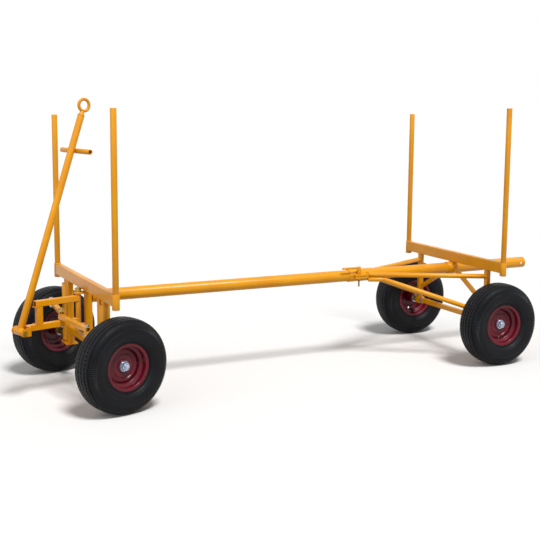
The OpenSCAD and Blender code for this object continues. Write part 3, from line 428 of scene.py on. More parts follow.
GROOVES = (
    # in mm: middle, half width at the top, depth, sideways zig-zag
    (-53.5, 4.6, 8.5, 0.4),
    (-33, 3.0, 6.5, 2.4),
    (-11.5, 2.8, 6.5, 2.4),
    (11.5, 2.8, 6.5, 2.4),
    (33, 3.0, 6.5, 2.4),
    (53.5, 4.6, 8.5, 0.4),
)


def crown_point(angle):
    """Point of the tyre's crown, from 0 at the widest place to 90 degrees at the tread's middle."""
    power = 2 / SQUARE
    radius = WIDEST_R + (TYRE_R - WIDEST_R) * sin(angle) ** power
    return (radius, TYRE_HALF * abs(cos(angle)) ** power)


def crown_radius(z):
    share = min(abs(z) / TYRE_HALF, 1)
    return WIDEST_R + (TYRE_R - WIDEST_R) * (1 - share ** SQUARE) ** (1 / SQUARE)


def tyre_side(sign):
    """Bead, sidewall with its raised lines, and knurled shoulder: (radius, z, kind, zig-zag)."""
    wall = []
    for share in WALL_SHARES:
        angle = share * pi / 2
        radius = WALL_START_R + (WIDEST_R - WALL_START_R) * (1 - cos(angle)) ** WALL_POWER
        wall.append((radius, WALL_START_Z + (TYRE_HALF - WALL_START_Z) * sin(angle)))
    wall += [crown_point(radians(angle)) for angle in CROWN_PLAIN]
    for line_r in RAISED_LINES:
        k = next(i for i, point in enumerate(wall) if point[0] > line_r)
        (below_r, below_z), (above_r, above_z) = wall[k - 1], wall[k]
        z = below_z + (above_z - below_z) * (line_r - below_r) / (above_r - below_r)
        wall[k:k] = [
            (line_r - RAISED_FOOT, z), (line_r - RAISED_TOP, z + RAISED_BY),
            (line_r + RAISED_TOP, z + RAISED_BY), (line_r + RAISED_FOOT, z),
        ]
    wall = [point for i, point in enumerate(wall) if i == 0 or point[0] > wall[i - 1][0]]
    made = [(radius * MM, z * MM) for radius, z in BEAD_LINE] + wall
    made += [crown_point(radians(angle)) for angle in CROWN_KNURLED]
    points = []
    for radius, z in made:
        kind = "knurl" if KNURL_LOW < radius < KNURL_HIGH else "plain"
        points.append((radius, sign * min(z, TYRE_HALF), kind, 0))
    return points


def tyre_outline():
    """Closed section: one side, the grooved tread, the other side and the lining."""
    side = tyre_side(-1)
    edge = abs(side[-1][1]) / MM
    tread = []
    for centre, half, depth, zigzag in GROOVES:
        walls = (
            (-half - GROOVE_LIP, 0), (-half, -GROOVE_ROUND), (-half * GROOVE_FLOOR_SHARE, -depth))
        for offset, drop in walls + tuple((-o, d) for o, d in reversed(walls)):
            z = centre + offset
            if abs(z) < edge:
                tread.append((crown_radius(z * MM) + drop * MM, z * MM, "tread", zigzag))
    inner = list(LINING) + [(radius, -z) for radius, z in reversed(LINING)]
    lining = [(radius * MM, z * MM, "plain", 0) for radius, z in inner]
    return side + tread + list(reversed(tyre_side(1))) + lining


def tyre_ring(point):
    """Ring through a point of the section, with its knurls or its groove's zig-zag."""
    radius, z, kind, zigzag = point

    def at(angle):
        step = round(angle / (2 * pi) * STEPS)
        if kind == "tread":
            away = abs(step % ZIGZAG_STEPS - ZIGZAG_STEPS / 2)
            return radius, z + zigzag * MM * (1 - away / (ZIGZAG_STEPS / 4))
        if kind == "knurl" and step % KNURL_STEPS >= KNURL_RAISED_STEPS:
            return radius - KNURL_IN, z * (1 - KNURL_ASIDE / abs(z))
        return radius, z
    return at


# Weld beads: a rippled line of metal along a joint
BEAD = 2.4 * MM
RIPPLE = 3.2 * MM
RIPPLE_NARROW = 0.78
BEAD_SIDES = 6
FEWEST_POINTS = 8
# Share of a point that takes an odd count up to the next even one
COUNT_UP = 0.9
TINY = 1e-9


def even(points, gap):
    """Closed line with its points spread evenly."""
    lengths = [(points[(i + 1) % len(points)] - points[i]).length for i in range(len(points))]
    total = sum(lengths)
    count = max(FEWEST_POINTS, ceil(total / gap))
    made, i, passed = [], 0, 0.0
    for k in range(count):
        goal = total * k / count
        while passed + lengths[i] < goal:
            passed += lengths[i]
            i += 1
        share = (goal - passed) / max(lengths[i], TINY)
        made.append(points[i].lerp(points[(i + 1) % len(points)], share))
    return made


def bead(build, points, size=BEAD):
    """Bead along a closed line: each ripple swells and narrows once."""
    line = even(points, RIPPLE / 2)
    if len(line) % 2:
        line = even(points, RIPPLE / 2 * len(line) / (len(line) + COUNT_UP))
    rings = []
    count = len(line)
    for i, here in enumerate(line):
        run = (line[(i + 1) % count] - line[i - 1]).normalized()
        side = run.orthogonal().normalized()
        if rings:
            side = (rings[-1][1] - run * rings[-1][1].dot(run)).normalized()
        radius = size * (1 if i % 2 else RIPPLE_NARROW)
        other = run.cross(side)
        verts = []
        for k in range(BEAD_SIDES):
            angle = 2 * pi * k / BEAD_SIDES
            out = side * cos(angle) + other * sin(angle)
            verts.append(build.verts.new(here + out * radius))
        rings.append((verts, side))
    for i in range(count):
        first, second = rings[i][0], rings[(i + 1) % count][0]
        turn = 0
        if i == count - 1:
            turn = min(range(BEAD_SIDES), key=lambda t: (first[0].co - second[t].co).length)
        for k in range(BEAD_SIDES):
            a, b = (k + turn) % BEAD_SIDES, (k + 1 + turn) % BEAD_SIDES
            build.faces.new((first[k], first[(k + 1) % BEAD_SIDES], second[b], second[a]))


ROUND_STEPS = 32
CORNER = 4 * MM
CORNER_STEPS = 4


def round_section(radius, steps=ROUND_STEPS):
    """Outline of a round tube."""
    angles = [2 * pi * i / steps for i in range(steps)]
    return [Vector((radius * cos(angle), radius * sin(angle), 0)) for angle in angles]


def box_section(width, height, corner=CORNER):
    """Outline of an oblong tube with round corners."""
    made = []
    turns = (((1, 1), 0), ((-1, 1), 1), ((-1, -1), 2), ((1, -1), 3))
    for (sx, sy), quarter in turns:
        centre = Vector((sx * (width / 2 - corner), sy * (height / 2 - corner), 0))
        for k in range(CORNER_STEPS + 1):
            angle = (quarter + k / CORNER_STEPS) * pi / 2
            made.append(centre + Vector((cos(angle), sin(angle), 0)) * corner)
    return made


def on_plane(point, normal):
    """Where a line meets a plane."""
    def hit(start, run):
        return start + run * ((point - start).dot(normal) / run.dot(normal))
    return hit


def on_tube(point, axis, radius):
    """Where a line first meets a round tube, or comes nearest to it."""
    def hit(start, run):
        away = start - point
        a_run, a_away = run - axis * run.dot(axis), away - axis * away.dot(axis)
        a, b, c = a_run.dot(a_run), 2 * a_run.dot(a_away), a_away.dot(a_away) - radius ** 2
        root = max(b * b - 4 * a * c, 0)
        return start + run * ((-b - sqrt(root)) / (2 * a))
    return hit


def joint_bead(build, place, section, target, size=BEAD):
    """Bead where a tube, standing on a frame with +Z along it, meets a target surface."""
    run = (place.to_3x3() @ Z).normalized()
    bead(build, [target(place @ point, run) for point in even(section, RIPPLE / 2)], size)


# Rims
RIM_SHEET = 3 * MM
HUB_R = 30 * MM
HUB_IN, HUB_OUT = 60 * MM, 24 * MM
BEARING_R, BEARING_W = 26 * MM, 15 * MM
HUB_BORE = 23 * MM
VALVE_HOLE_AT, VALVE_HOLE_Z, VALVE_HOLE_R = 74 * MM, 14.5 * MM, 6 * MM
CUTTER_HALF = 9 * MM
VALVE_STEPS = 24
RIM_STEPS = 120
BARREL = (
    # radius, z and fillet in mm
    (114.6, 57.4, 0), (112.2, 56.6, 2), (100.4, 56.5, 5), (100.1, 30.2, 3.5), (84.5, 21.4, 5),
    (84.5, -21.4, 5), (100.1, -30.2, 3.5), (100.4, -56.5, 5), (112.2, -56.6, 2), (114.6, -57.4, 0),
)
DISC = (
    (84.4, 11.2, 0), (79, 14.2, 3), (70.5, 16.5, 4), (66, 16.5, 2), (62.5, 12.6, 2), (57, 12.6, 2),
    (53.5, 15.2, 3), (29.5, 15.2, 0),
)
RIM_BEADS = (
    # radius, z and size in mm: hub tube on the disc's two sides, disc in the barrel
    (31.2, 17.6, 3), (31.2, 12.6, 3), (82.6, 9.6, 2.2),
)
RIM_BEAD_STEPS = 48


def build_rim_mesh():
    """Barrel, disc and hub tube of a wheel, with their welds."""
    build = bmesh.new()
    here = Matrix.Identity(4)
    for corners, steps in ((BARREL, FILLET_STEPS), (DISC, FILLET_STEPS - 1)):
        scaled = [(radius * MM, z * MM, fillet * MM) for radius, z, fillet in corners]
        skin(build, here, sheet(filleted(scaled, steps), RIM_SHEET), RIM_STEPS, "loop")
    lip = 1 * MM
    ledge_out, ledge_in = HUB_OUT - BEARING_W, -HUB_IN + BEARING_W
    hub = [
        (HUB_R - lip, -HUB_IN), (HUB_R, -HUB_IN + lip), (HUB_R, HUB_OUT - lip),
        (HUB_R - lip, HUB_OUT), (BEARING_R + lip / 2, HUB_OUT), (BEARING_R, HUB_OUT - lip / 2),
        (BEARING_R, ledge_out), (HUB_BORE, ledge_out), (HUB_BORE, ledge_in), (BEARING_R, ledge_in),
        (BEARING_R, -HUB_IN + lip / 2), (BEARING_R + lip / 2, -HUB_IN),
    ]
    skin(build, here, hub, RIM_STEPS, "loop")
    for radius, z, size in RIM_BEADS:
        ring = [point + Z * (z * MM) for point in round_section(radius * MM, RIM_BEAD_STEPS)]
        bead(build, ring, size * MM)
    return meshed("pressed_rim", build, RIM_PAINT)


def cut_valve_hole(whole_mesh):
    """Cuts the round hole in the disc by a boolean whose cutter is removed again."""
    cutter_build = bmesh.new()
    at = Matrix.Translation((VALVE_HOLE_AT, 0, VALVE_HOLE_Z))
    rings = [(VALVE_HOLE_R, -CUTTER_HALF), (VALVE_HOLE_R, CUTTER_HALF)]
    skin(cutter_build, at, rings, VALVE_STEPS, "capped")
    cutter_mesh = bpy.data.meshes.new("cutter")
    cutter_build.to_mesh(cutter_mesh)
    cutter_build.free()
    holder = bpy.data.objects.new("holder", whole_mesh)
    cutter = bpy.data.objects.new("cutter", cutter_mesh)
    for made in (holder, cutter):
        bpy.context.scene.collection.objects.link(made)
    cut = holder.modifiers.new("cut", "BOOLEAN")
    cut.object = cutter
    cut.operation = "DIFFERENCE"
    cut.solver = "EXACT"
    cut.use_self = True
    graph = bpy.context.evaluated_depsgraph_get()
    result = bpy.data.meshes.new_from_object(holder.evaluated_get(graph))
    for made in (holder, cutter):
        bpy.data.objects.remove(made)
    bpy.data.meshes.remove(cutter_mesh)
    result.name = "pressed_rim_pierced"
    result.shade_smooth()
    result.set_sharp_from_angle(angle=radians(SHARP_DEGREES))
    return result


VALVE_AT = 91.5 * MM
VALVE_Z = -23 * MM
VALVE_LEAN = 0.35
VALVE_PROFILE = (
    # radius and height in mm: rubber foot, stem, cap
    (7.4, -2.0), (7.8, 0.4), (6.6, 3.0), (5.0, 5.5), (4.2, 9.0), (4.0, 20.0), (4.2, 20.4),
    (5.0, 20.6), (5.2, 21.4), (5.2, 28.6), (4.6, 30.2), (3.2, 30.8),
)


def build_valve_mesh():
    build = bmesh.new()
    rings = [(radius * MM, z * MM) for radius, z in VALVE_PROFILE]
    skin(build, Matrix.Identity(4), rings, VALVE_STEPS, "capped")
    return meshed("valve", build, VALVE)


def build_tyre_mesh():
    build = bmesh.new()
    rings = [tyre_ring(point) for point in tyre_outline()]
    skin(build, Matrix.Identity(4), rings, STEPS, "loop")
    return meshed("moulded_tyre", build, TYRE, TYRE_SHARP)


tyre_mesh = build_tyre_mesh()
rim_mesh = cut_valve_hole(build_rim_mesh())
valve_mesh = build_valve_mesh()
at_origin = Matrix.Identity(4)
for name in WHEEL_SIDES:
    wheel = wheel_frame(name)
    body = f"wheel_{name}"
    tyre = placed(f"moulded_tyre_{name}", settled(tyre_mesh, wheel), at_origin, body)
    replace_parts(tyre, f"tyre_{name}")
    outboard = wheel.to_3x3() @ Z
    turned = axis_frame(wheel.translation, outboard, -Z if name.startswith("rear") else -FORWARD)
    rim = placed(f"pressed_rim_{name}", settled(rim_mesh, turned), at_origin, body)
    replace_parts(rim, f"rim_{name}")
    foot = turned @ Vector((VALVE_AT, 0, VALVE_Z))
    inboard = turned.to_3x3() @ Vector((-VALVE_LEAN, 0, -1))
    placed(f"valve_{name}", valve_mesh, axis_frame(foot, inboard), body)


# Bolts, nuts and washers
HEX_STEPS = 48
CHAMFER_RISE = 0.55
FACE_SHARE, UNDER_SHARE = 0.95, 0.98
RECESS_EDGE, RECESS_FLOOR = 0.78, 0.72
HEAD_DISH, NUT_LIP, WASHER_LIP = 0.4 * MM, 0.8 * MM, 0.5 * MM
THREAD_DEPTH, TIP_SHARE = 0.55, 0.96
OVERLAP = 1 * MM


def hex_radius(af, angle):
    """Radius of a hexagon, af across its flats, at an angle."""
    third = pi / 3
    return af / 2 / cos((angle + third / 2) % third - third / 2)


def hex_edge(af, height, way):
    """Ring along a hexagon's chamfered edge, way 1 at the top and -1 at the bottom."""
    def at(angle):
        radius = hex_radius(af, angle)
        return radius, height - way * (radius - af / 2 * FACE_SHARE) * CHAMFER_RISE
    return at


def hex_nut(build, place, af, height, bore):
    face = af / 2 * FACE_SHARE
    rings = [
        (bore, NUT_LIP), (bore + NUT_LIP, 0), (face, 0), hex_edge(af, 0, -1),
        hex_edge(af, height, 1), (face, height), (bore + NUT_LIP, height), (bore, height - NUT_LIP),
    ]
    skin(build, place, rings, HEX_STEPS, "loop")


def hex_head(build, place, af, height):
    face = af / 2 * FACE_SHARE
    rings = [
        (face * UNDER_SHARE, 0), (face, HEAD_DISH), hex_edge(af, HEAD_DISH, -1),
        hex_edge(af, height, 1), (face, height), (face * RECESS_EDGE, height),
        (face * RECESS_FLOOR, height - HEAD_DISH),
    ]
    skin(build, place, rings, HEX_STEPS, "capped")


def washer(build, place, radius, bore, thickness):
    lip = min(WASHER_LIP, thickness / 3)
    rings = [
        (bore, lip), (bore + lip, 0), (radius - lip, 0), (radius, lip), (radius, thickness - lip),
        (radius - lip, thickness), (bore + lip, thickness), (bore, thickness - lip),
    ]
    skin(build, place, rings, HEX_STEPS, "loop")


def shank(build, place, radius, start, stop):
    skin(build, place, [(radius, start), (radius, stop)], HEX_STEPS, "capped")


def thread(build, place, radius, start, stop, pitch):
    """Threaded length with a chamfered end at stop."""
    root = radius - pitch * THREAD_DEPTH
    rings = [(root, start)]
    count = max(1, int((stop - start) / pitch))
    step = (stop - start) / (count + 0.5)
    for i in range(count):
        rings += [(radius, start + (i + 0.5) * step), (root, start + (i + 1) * step)]
    rings.append((root * TIP_SHARE, stop))
    skin(build, place, rings, HEX_STEPS, "capped")


AXLE_R = 12.5 * MM
AXLE_COVER = 12.7 * MM
AXLE_WASHER_R = 23.5 * MM
AXLE_NUT_AF = 36 * MM
AXLE_NUT_H = 14 * MM
WASHER_T = 3 * MM
AIR = 0.3 * MM
TAIL = 4 * MM
AXLE_TIP = (
    # in mm beyond the nut's bore and its top
    (0, -2), (0, 1), (-0.7, 1.6), (0, 2.2), (0, 3), (-1.6, 4.2),
)


def axle_end(build, name):
    """Washer, nut and plated threaded tip on a wheel's axle."""
    wheel = wheel_frame(name)
    start = HUB_OUT + AIR
    washer(build, wheel @ Matrix.Translation(Z * start), AXLE_WASHER_R, AXLE_R, WASHER_T)
    nut_at = start + WASHER_T
    hex_nut(build, wheel @ Matrix.Translation(Z * nut_at), AXLE_NUT_AF, AXLE_NUT_H, AXLE_COVER)
    top = nut_at + AXLE_NUT_H
    tip = [(AXLE_COVER + out * MM, top + z * MM) for out, z in AXLE_TIP]
    skin(build, wheel, tip, HEX_STEPS, "capped")


def fastener_piece(name, build, node):
    """Fasteners with the look of the slot and the body of the CAD node that they replace."""
    slot = SLOTS[node]
    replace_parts(finished(name, build, SLOT_LOOKS[slot], BODIES[node]), node)


ARM_LEN, ARM_T = 97 * MM, 10 * MM
ARM_BOLT_R, ARM_AF, ARM_HEAD_H, ARM_NUT_H = 6 * MM, 19.2 * MM, 8 * MM, 10 * MM
PIN_R, PIN_AF, PIN_HEAD_H, PIN_NUT_H = 10 * MM, 30 * MM, 13 * MM, 16 * MM
PIN_WASHER_R = 17 * MM
PLATE_AF, PLATE_HEAD_H, PLATE_BOLT_R, PLATE_BOLT_LEN = 24 * MM, 9 * MM, 8 * MM, 20 * MM

# Drawbar pin, and the bolts under the kingpins
build = bmesh.new()
pin_at = joint_at("yoke_steer")
lug_low, lug_high = low("drawbar_lugs").z, high("drawbar_lugs").z
pin_foot = Matrix.Translation((pin_at.x, pin_at.y, lug_low))
hex_head(build, pin_foot @ Matrix.Rotation(pi, 4, "X"), PIN_AF, PIN_HEAD_H)
pin_len = lug_high - lug_low
shank(build, pin_foot, PIN_R, -OVERLAP, pin_len + WASHER_T)
washer(build, pin_foot @ Matrix.Translation(Z * pin_len), PIN_WASHER_R, PIN_R, WASHER_T)
nut_at = pin_len + WASHER_T
hex_nut(build, pin_foot @ Matrix.Translation(Z * nut_at), PIN_AF, PIN_NUT_H, PIN_R)
thread(build, pin_foot, PIN_R, nut_at - OVERLAP, nut_at + PIN_NUT_H + TAIL, pitch=2.5 * MM)
for word in SIDES.values():
    knuckle_at = joint_at(f"knuckle_{word}_turn")
    foot = Matrix.Translation((knuckle_at.x, knuckle_at.y, low("kingpin_plates").z))
    hex_head(build, foot @ Matrix.Rotation(pi, 4, "X"), PLATE_AF, PLATE_HEAD_H)
    shank(build, foot, PLATE_BOLT_R, -OVERLAP, PLATE_BOLT_LEN)
fastener_piece("turned_front_fasteners", build, "front_fasteners")

# Knuckle fasteners: axle nut, and the bolt at the steering arm
for word in SIDES.values():
    build = bmesh.new()
    axle_end(build, f"front_{word}")
    rod = f"tie_rod_{word}"
    bolt_at = joint_at(f"knuckle_{word}_turn") + FORWARD * ARM_LEN
    arm_top = low(rod).z - AIR
    arm_foot = Matrix.Translation((bolt_at.x, bolt_at.y, arm_top - ARM_T))
    head_at = high(rod).z + AIR - (arm_top - ARM_T)
    hex_head(build, arm_foot @ Matrix.Translation(Z * head_at), ARM_AF, ARM_HEAD_H)
    shank(build, arm_foot, ARM_BOLT_R, -ARM_NUT_H / 2, head_at + OVERLAP)
    turned_down = arm_foot @ Matrix.Rotation(pi, 4, "X")
    hex_nut(build, turned_down, ARM_AF, ARM_NUT_H, ARM_BOLT_R)
    thread(build, turned_down, ARM_BOLT_R, ARM_NUT_H - OVERLAP, ARM_NUT_H + TAIL, pitch=1.75 * MM)
    fastener_piece(f"turned_knuckle_fasteners_{word}", build, f"knuckle_fasteners_{word}")

# Steering pin with its spacer and nut
STEER_R, STEER_AF, STEER_NUT_H = 8 * MM, 24 * MM, 10 * MM
SPACER_R, SPACER_T = 14 * MM, 1.9 * MM
build = bmesh.new()
steer_at = pin_at + FORWARD * ARM_LEN
spacer_low = low("steering_pin").z
steer_foot = Matrix.Translation((steer_at.x, steer_at.y, spacer_low))
washer(build, steer_foot, SPACER_R, STEER_R, SPACER_T)
nut_at = high("tie_rod_far").z + AIR - spacer_low
nut_top = nut_at + STEER_NUT_H
shank(build, steer_foot, STEER_R, 0, nut_at + OVERLAP)
hex_nut(build, steer_foot @ Matrix.Translation(Z * nut_at), STEER_AF, STEER_NUT_H, STEER_R)
thread(build, steer_foot, STEER_R, nut_top - OVERLAP, nut_top + TAIL, pitch=2 * MM)
steering_pin = finished("turned_steering_pin", build, GOLDEN, "yoke")
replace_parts(steering_pin, "steering_pin")

# Hinge bolt
HINGE_R, HINGE_AF, HINGE_HEAD_H, HINGE_NUT_H = 6 * MM, 19.2 * MM, 8 * MM, 10 * MM
EAR_OUT = 48.3 * MM
build = bmesh.new()
hinge_at = joint_at("handle_pitch")
nut_top = EAR_OUT + HINGE_NUT_H
to_near = axis_frame(hinge_at, NEARWARD)
to_far = axis_frame(hinge_at, -NEARWARD)
hex_head(build, to_near @ Matrix.Translation(Z * EAR_OUT), HINGE_AF, HINGE_HEAD_H)
shank(build, to_near, HINGE_R, -EAR_OUT - OVERLAP, EAR_OUT + OVERLAP)
hex_nut(build, to_far @ Matrix.Translation(Z * EAR_OUT), HINGE_AF, HINGE_NUT_H, HINGE_R)
thread(build, to_far, HINGE_R, nut_top - OVERLAP, nut_top + TAIL, pitch=1.75 * MM)
fastener_piece("turned_hinge_bolt", build, "hinge_bolt")

# Clamp bolt
CLAMP_R, CLAMP_AF, CLAMP_NUT_H, CLAMP_GRIP = 5 * MM, 17 * MM, 8 * MM, 11.5 * MM
CLAMP_HEAD, CLAMP_TAIL = 39 * MM, 58 * MM
build = bmesh.new()
lever_at = joint_at("lever_turn")
pole_z = middle("main_pole").z
clamp_foot = Matrix.Translation((lever_at.x, lever_at.y, pole_z))
down = clamp_foot @ Matrix.Rotation(pi, 4, "X")
in_nut = CLAMP_GRIP + CLAMP_NUT_H / 2
hex_nut(build, down @ Matrix.Translation(Z * CLAMP_GRIP), CLAMP_AF, CLAMP_NUT_H, CLAMP_R)
shank(build, down, CLAMP_R, -CLAMP_HEAD, in_nut)
thread(build, down, CLAMP_R, in_nut, CLAMP_TAIL, pitch=1.5 * MM)
clamp_bolt = finished("turned_clamp_bolt", build, GOLDEN, "rear_bogie")
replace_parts(clamp_bolt, "rear_fasteners")

# Axle collars and rear axle nuts
COLLAR_R, COLLAR_T, COLLAR_GAP, COLLAR_FIT = 19 * MM, 8 * MM, 0.2 * MM, 0.05 * MM
build = bmesh.new()
beam_end = high("axle_beam").y
axle_x, _, axle_z = joint_at("wheel_rear_near_spin")
for side, word in SIDES.items():
    collar = axis_frame(Vector((axle_x, side * (beam_end + COLLAR_GAP), axle_z)), Y * side)
    washer(build, collar, COLLAR_R, AXLE_R + COLLAR_FIT, COLLAR_T)
    axle_end(build, f"rear_{word}")
fastener_piece("turned_rear_fasteners", build, "rear_fasteners")


# Welds, one piece for each body
WELD_SHARP = 60
BEAM_W, BEAM_H = 30 * MM, 60 * MM
POST_W = 30 * MM
SOCKET_R = 18.4 * MM
POLE_R = 32 * MM
LUG_WELD_W, LUG_T = 34 * MM, 10 * MM
PLATE_CORNER = 1 * MM
YOKE_BEAD = 1.8 * MM


def weld_piece(name, build, body):
    finished(name, build, PAINT, body, WELD_SHARP)


def post_beads(build, centre, width, low_z, high_z):
    """Beads round a square post's two ends."""
    foot = Matrix.Translation((centre.x, centre.y, 0))
    for z in (low_z, high_z):
        joint_bead(build, foot, box_section(width, width), on_plane(Z * z, Z))


def socket_beads(build, bolster, sockets):
    """Beads where a bolster's ends meet its stake sockets."""
    centre = middle(bolster)
    half = high(sockets).y - SOCKET_R
    for side in SIDES:
        beam = axis_frame(centre, Y * side, X)
        socket = Vector((centre.x, side * half, 0))
        joint_bead(build, beam, box_section(BEAM_W, BEAM_H), on_tube(socket, Z, SOCKET_R))


# Front frame: sockets, inner posts, crossbeam, centre post, pole and drawbar lugs
build = bmesh.new()
front_x = middle("front_bolster").x
under = low("front_bolster").z
socket_beads(build, "front_bolster", "front_sockets")
inner_y = high("inner_posts").y - POST_W / 2
plate_top = high("kingpin_plates").z
for side in SIDES:
    post_beads(build, Vector((front_x, side * inner_y, 0)), POST_W, plate_top, under)
    beam = axis_frame(Vector((front_x, 0, middle("lower_crossbeam").z)), Y * side, X)
    face = Vector((0, side * (inner_y - POST_W / 2), 0))
    joint_bead(build, beam, box_section(POST_W, POST_W), on_plane(face, Y))
centre = middle("centre_post")
centre_w = high("centre_post").x - low("centre_post").x
post_beads(build, centre, centre_w, high("lower_crossbeam").z, under)
pole_line = axis_frame(Vector((centre.x, 0, pole_z)), X)
joint_bead(build, pole_line, round_section(POLE_R), on_plane(low("main_pole"), X), size=3 * MM)
lug_face = Vector((low("centre_post").x, 0, 0))
for z in (lug_low + LUG_T / 2, lug_high - LUG_T / 2):
    lug = axis_frame(Vector((pin_at.x, 0, z)), X, Y)
    section = box_section(LUG_WELD_W, LUG_T, PLATE_CORNER)
    joint_bead(build, lug, section, on_plane(lug_face, X), YOKE_BEAD)
weld_piece("front_frame_welds", build, "front_frame")

# Yoke: rails on the pivot tube, and the upright between them
PIVOT_R = 13.1 * MM
UPRIGHT_AT = 221 * MM
build = bmesh.new()
for rail in ("yoke_top_rail", "yoke_bottom_rail"):
    z = middle(rail).z
    along = axis_frame(pin_at.xy.to_3d() + Z * z + FORWARD * 2 * POST_W, -FORWARD, NEARWARD)
    joint_bead(build, along, box_section(POST_W, POST_W), on_tube(pin_at, Z, PIVOT_R), YOKE_BEAD)
upright = pin_at.xy.to_3d() + FORWARD * (UPRIGHT_AT + POST_W / 2)
upright_foot = axis_frame(upright, Z, FORWARD)
for z in (low("yoke_upright").z, high("yoke_upright").z):
    joint_bead(build, upright_foot, box_section(POST_W, POST_W), on_plane(Z * z, Z), YOKE_BEAD)
weld_piece("yoke_welds", build, "yoke")

# Handle: tube on its barrel, tow eye on the tube
LEAN = radians(19.4)
HANDLE_R, BARREL_R, BARREL_BEAD_R, NECK_BEAD_R = 17 * MM, 18 * MM, 18.1 * MM, 16.4 * MM
HANDLE_LEN, EYE_R, NECK_LEN, NECK_IN = 1145 * MM, 36.5 * MM, 22 * MM, 6 * MM
build = bmesh.new()
UPWARD = (Z * cos(LEAN) - FORWARD * sin(LEAN)).normalized()
along = axis_frame(hinge_at + UPWARD * 2 * BARREL_R, -UPWARD, NEARWARD)
joint_bead(build, along, round_section(HANDLE_R), on_tube(hinge_at, NEARWARD, BARREL_BEAD_R))
tube_end = HANDLE_LEN - EYE_R - NECK_LEN + NECK_IN
neck = axis_frame(hinge_at, UPWARD)
bead(build, [neck @ (p + Z * tube_end) for p in round_section(NECK_BEAD_R)], size=2 * MM)
weld_piece("handle_welds", build, "handle")

# Knuckles: axle and steering arm on the tube
KNUCKLE_R = 27.3 * MM
STUB_R = 18 * MM
ARM_W = 32 * MM
for word in SIDES.values():
    build = bmesh.new()
    knuckle_at = joint_at(f"knuckle_{word}_turn")
    outboard = wheel_frame(f"front_{word}").to_3x3() @ Z
    at_axle = Vector((knuckle_at.x, knuckle_at.y, axle_z))
    stub = axis_frame(at_axle + outboard * 3 * KNUCKLE_R, -outboard)
    joint_bead(
        build, stub, round_section(STUB_R), on_tube(at_axle, Z, KNUCKLE_R), size=2.8 * MM)
    arm_top = low(f"tie_rod_{word}").z - AIR
    arm_at = Vector((knuckle_at.x, knuckle_at.y, arm_top - ARM_T / 2))
    arm = axis_frame(arm_at + FORWARD * 3 * KNUCKLE_R, -FORWARD, NEARWARD)
    section = box_section(ARM_W, ARM_T, PLATE_CORNER)
    joint_bead(build, arm, section, on_tube(knuckle_at, Z, KNUCKLE_R))
    weld_piece(f"knuckle_welds_{word}", build, f"front_knuckle_{word}")

# Rear bogie: sockets, posts, hub sleeve, diagonals and struts
REAR_POST_W, BLOCK_W = 28 * MM, 40 * MM
DIAGONAL_W, DIAGONAL_CORNER, DIAGONAL_FOOT, DIAGONAL_RISE = 22 * MM, 3 * MM, 77 * MM, 11 * MM
SLEEVE_R, CLAMP_SLEEVE_R = 35.9 * MM, 35.8 * MM
STRUT_R = 13.45 * MM
STRUT_SIDE, UPPER_IN, UPPER_RISE = 6 * MM, 20 * MM, 4 * MM
LOWER_DROP, LOWER_LEVEL, LOWER_RISE = 24 * MM, 60 * MM, 42 * MM
build = bmesh.new()
rear_x = middle("rear_bolster").x
socket_beads(build, "rear_bolster", "rear_sockets")
post_y = high("rear_posts").y - BLOCK_W / 2
block_top = axle_z + BLOCK_W / 2
post_face = rear_x - REAR_POST_W / 2
strut_x = high("clamp_sleeve").x - UPPER_IN
start_y = CLAMP_SLEEVE_R + STRUT_SIDE
reach = post_face - strut_x
slope = (post_y - start_y) / reach
sleeve_line = Vector((rear_x, 0, pole_z))


def strut_point(side, dx, z):
    """Point above or below a strut's line from the clamp to the post, dx behind its start."""
    return Vector((strut_x + dx, side * (start_y + dx * slope), z))


for side in SIDES:
    post = Vector((rear_x, side * post_y, 0))
    post_beads(build, post, REAR_POST_W, block_top, low("rear_bolster").z)
    foot = Vector((rear_x, side * post_y, axle_z + DIAGONAL_FOOT))
    head = Vector((rear_x, 0, pole_z + DIAGONAL_RISE))
    halfway = (foot + head) / 2
    section = box_section(DIAGONAL_W, DIAGONAL_W, DIAGONAL_CORNER)
    face = Vector((0, side * (post_y - REAR_POST_W / 2), 0))
    joint_bead(build, axis_frame(halfway, foot - head, X), section, on_plane(face, Y))
    up_line = axis_frame(halfway, head - foot, X)
    joint_bead(build, up_line, section, on_tube(sleeve_line, X, SLEEVE_R))
    section = round_section(STRUT_R)
    face = Vector((post_face, 0, 0))
    head = strut_point(side, 0, pole_z + UPPER_RISE)
    foot = strut_point(side, reach + STRUT_R, pole_z)
    joint_bead(build, axis_frame((head + foot) / 2, foot - head), section, on_plane(face, X))
    up_line = axis_frame(strut_point(side, LOWER_LEVEL, pole_z + UPPER_RISE), head - foot)
    joint_bead(build, up_line, section, on_tube(sleeve_line, X, SLEEVE_R))
    head = strut_point(side, 0, pole_z - LOWER_DROP)
    bend = strut_point(side, LOWER_LEVEL, pole_z - LOWER_DROP)
    foot = strut_point(side, reach, axle_z + LOWER_RISE)
    joint_bead(build, axis_frame((bend + foot) / 2, foot - bend), section, on_plane(face, X))
    mitre = ((bend - head).normalized() + (foot - bend).normalized()).normalized()
    joint_bead(build, axis_frame(head, bend - head), section, on_plane(bend, mitre), size=1.6 * MM)
weld_piece("rear_bogie_welds", build, "rear_bogie")


# Stage: a pale floor, dimmer in its bounce than where it is seen
FLOOR_HALF = 60
FLOOR_GREY = (0.85, 0.84, 0.83, 1)
FLOOR_BOUNCE = (0.42, 0.42, 0.42, 1)
WHITE = (1, 1, 1, 1)
AMBIENT = 0.3


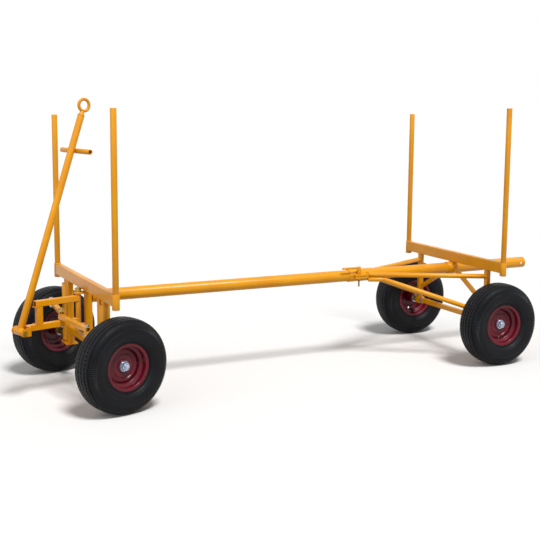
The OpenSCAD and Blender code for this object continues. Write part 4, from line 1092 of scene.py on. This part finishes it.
def seen_ray(tree):
    """1 for a ray that shows the background itself: camera, glossy or transmitted."""
    path = tree.nodes.new("ShaderNodeLightPath")
    seen = path.outputs["Is Camera Ray"]
    for ray in ("Is Glossy Ray", "Is Transmission Ray"):
        most = tree.nodes.new("ShaderNodeMath")
        most.operation = "MAXIMUM"
        tree.links.new(seen, most.inputs[0])
        tree.links.new(path.outputs[ray], most.inputs[1])
        seen = most.outputs[0]
    return seen


floor_mesh = bpy.data.meshes.new("floor")
corners = [(-1, -1), (1, -1), (1, 1), (-1, 1)]
floor_mesh.from_pydata([(x * FLOOR_HALF, y * FLOOR_HALF, 0) for x, y in corners], [], [(0, 1, 2, 3)])
floor = bpy.data.objects.new("floor", floor_mesh)
bpy.context.scene.collection.objects.link(floor)
floor_look = Shader("pale_floor")
floor_look.set(Roughness=0.9, Specular_IOR_Level=0.0)
floor_look.paint(floor_look.mixed(seen_ray(floor_look.tree), FLOOR_BOUNCE, FLOOR_GREY))
floor_mesh.materials.append(floor_look.material)

# World: white where it is seen, and dimmer where it lights
world = bpy.data.worlds.new("studio")
bpy.context.scene.world = world
world.use_nodes = True
tree = world.node_tree
background = tree.nodes["Background"]
strength = tree.nodes.new("ShaderNodeMapRange")
strength.inputs["To Min"].default_value = AMBIENT
strength.inputs["To Max"].default_value = 1.0
tree.links.new(seen_ray(tree), strength.inputs["Value"])
tree.links.new(strength.outputs["Result"], background.inputs["Strength"])
background.inputs["Color"].default_value = WHITE

KEY_POWER = 2.9
KEY_SPREAD = radians(17)
KEY_FROM = Vector((0.05, -0.5, 0.86))
FILL_POWER = 0.85
FILL_SPREAD = radians(60)
FILL_FROM = Vector((-0.82, -0.35, 0.45))
LAMP_HEIGHT = 3


def softbox(name, power, spread, source):
    """Soft sun that shines from a direction."""
    data = bpy.data.lights.new(name, "SUN")
    data.energy = power
    data.angle = spread
    made = bpy.data.objects.new(name, data)
    bpy.context.scene.collection.objects.link(made)
    made.matrix_world = axis_frame(Z * LAMP_HEIGHT, source)


softbox("key", KEY_POWER, KEY_SPREAD, KEY_FROM)
softbox("fill", FILL_POWER, FILL_SPREAD, FILL_FROM)

# Camera, at the photograph's angle
CAMERA_AT = Vector((-2.736734, -5.241117, 1.524114))
TURN = radians(27.315)
DOWN = radians(8.765)
ROLL = radians(0.611)
SENSOR, LENS = 36, 72.59
SHIFT_X, SHIFT_Y = -0.0390, -0.0251
FARTHEST = 200
camera_data = bpy.data.cameras.new("camera")
camera_data.sensor_width = SENSOR
camera_data.lens = LENS
camera_data.shift_x, camera_data.shift_y = SHIFT_X, SHIFT_Y
camera_data.clip_end = FARTHEST
camera = bpy.data.objects.new("camera", camera_data)
bpy.context.scene.collection.objects.link(camera)
camera.matrix_world = (
    Matrix.Translation(CAMERA_AT)
    @ Matrix.Rotation(-TURN, 4, "Z")
    @ Matrix.Rotation(pi / 2 - DOWN, 4, "X")
    @ Matrix.Rotation(ROLL, 4, "Z")
)
bpy.context.scene.camera = camera
bpy.context.scene.view_settings.view_transform = "Standard"
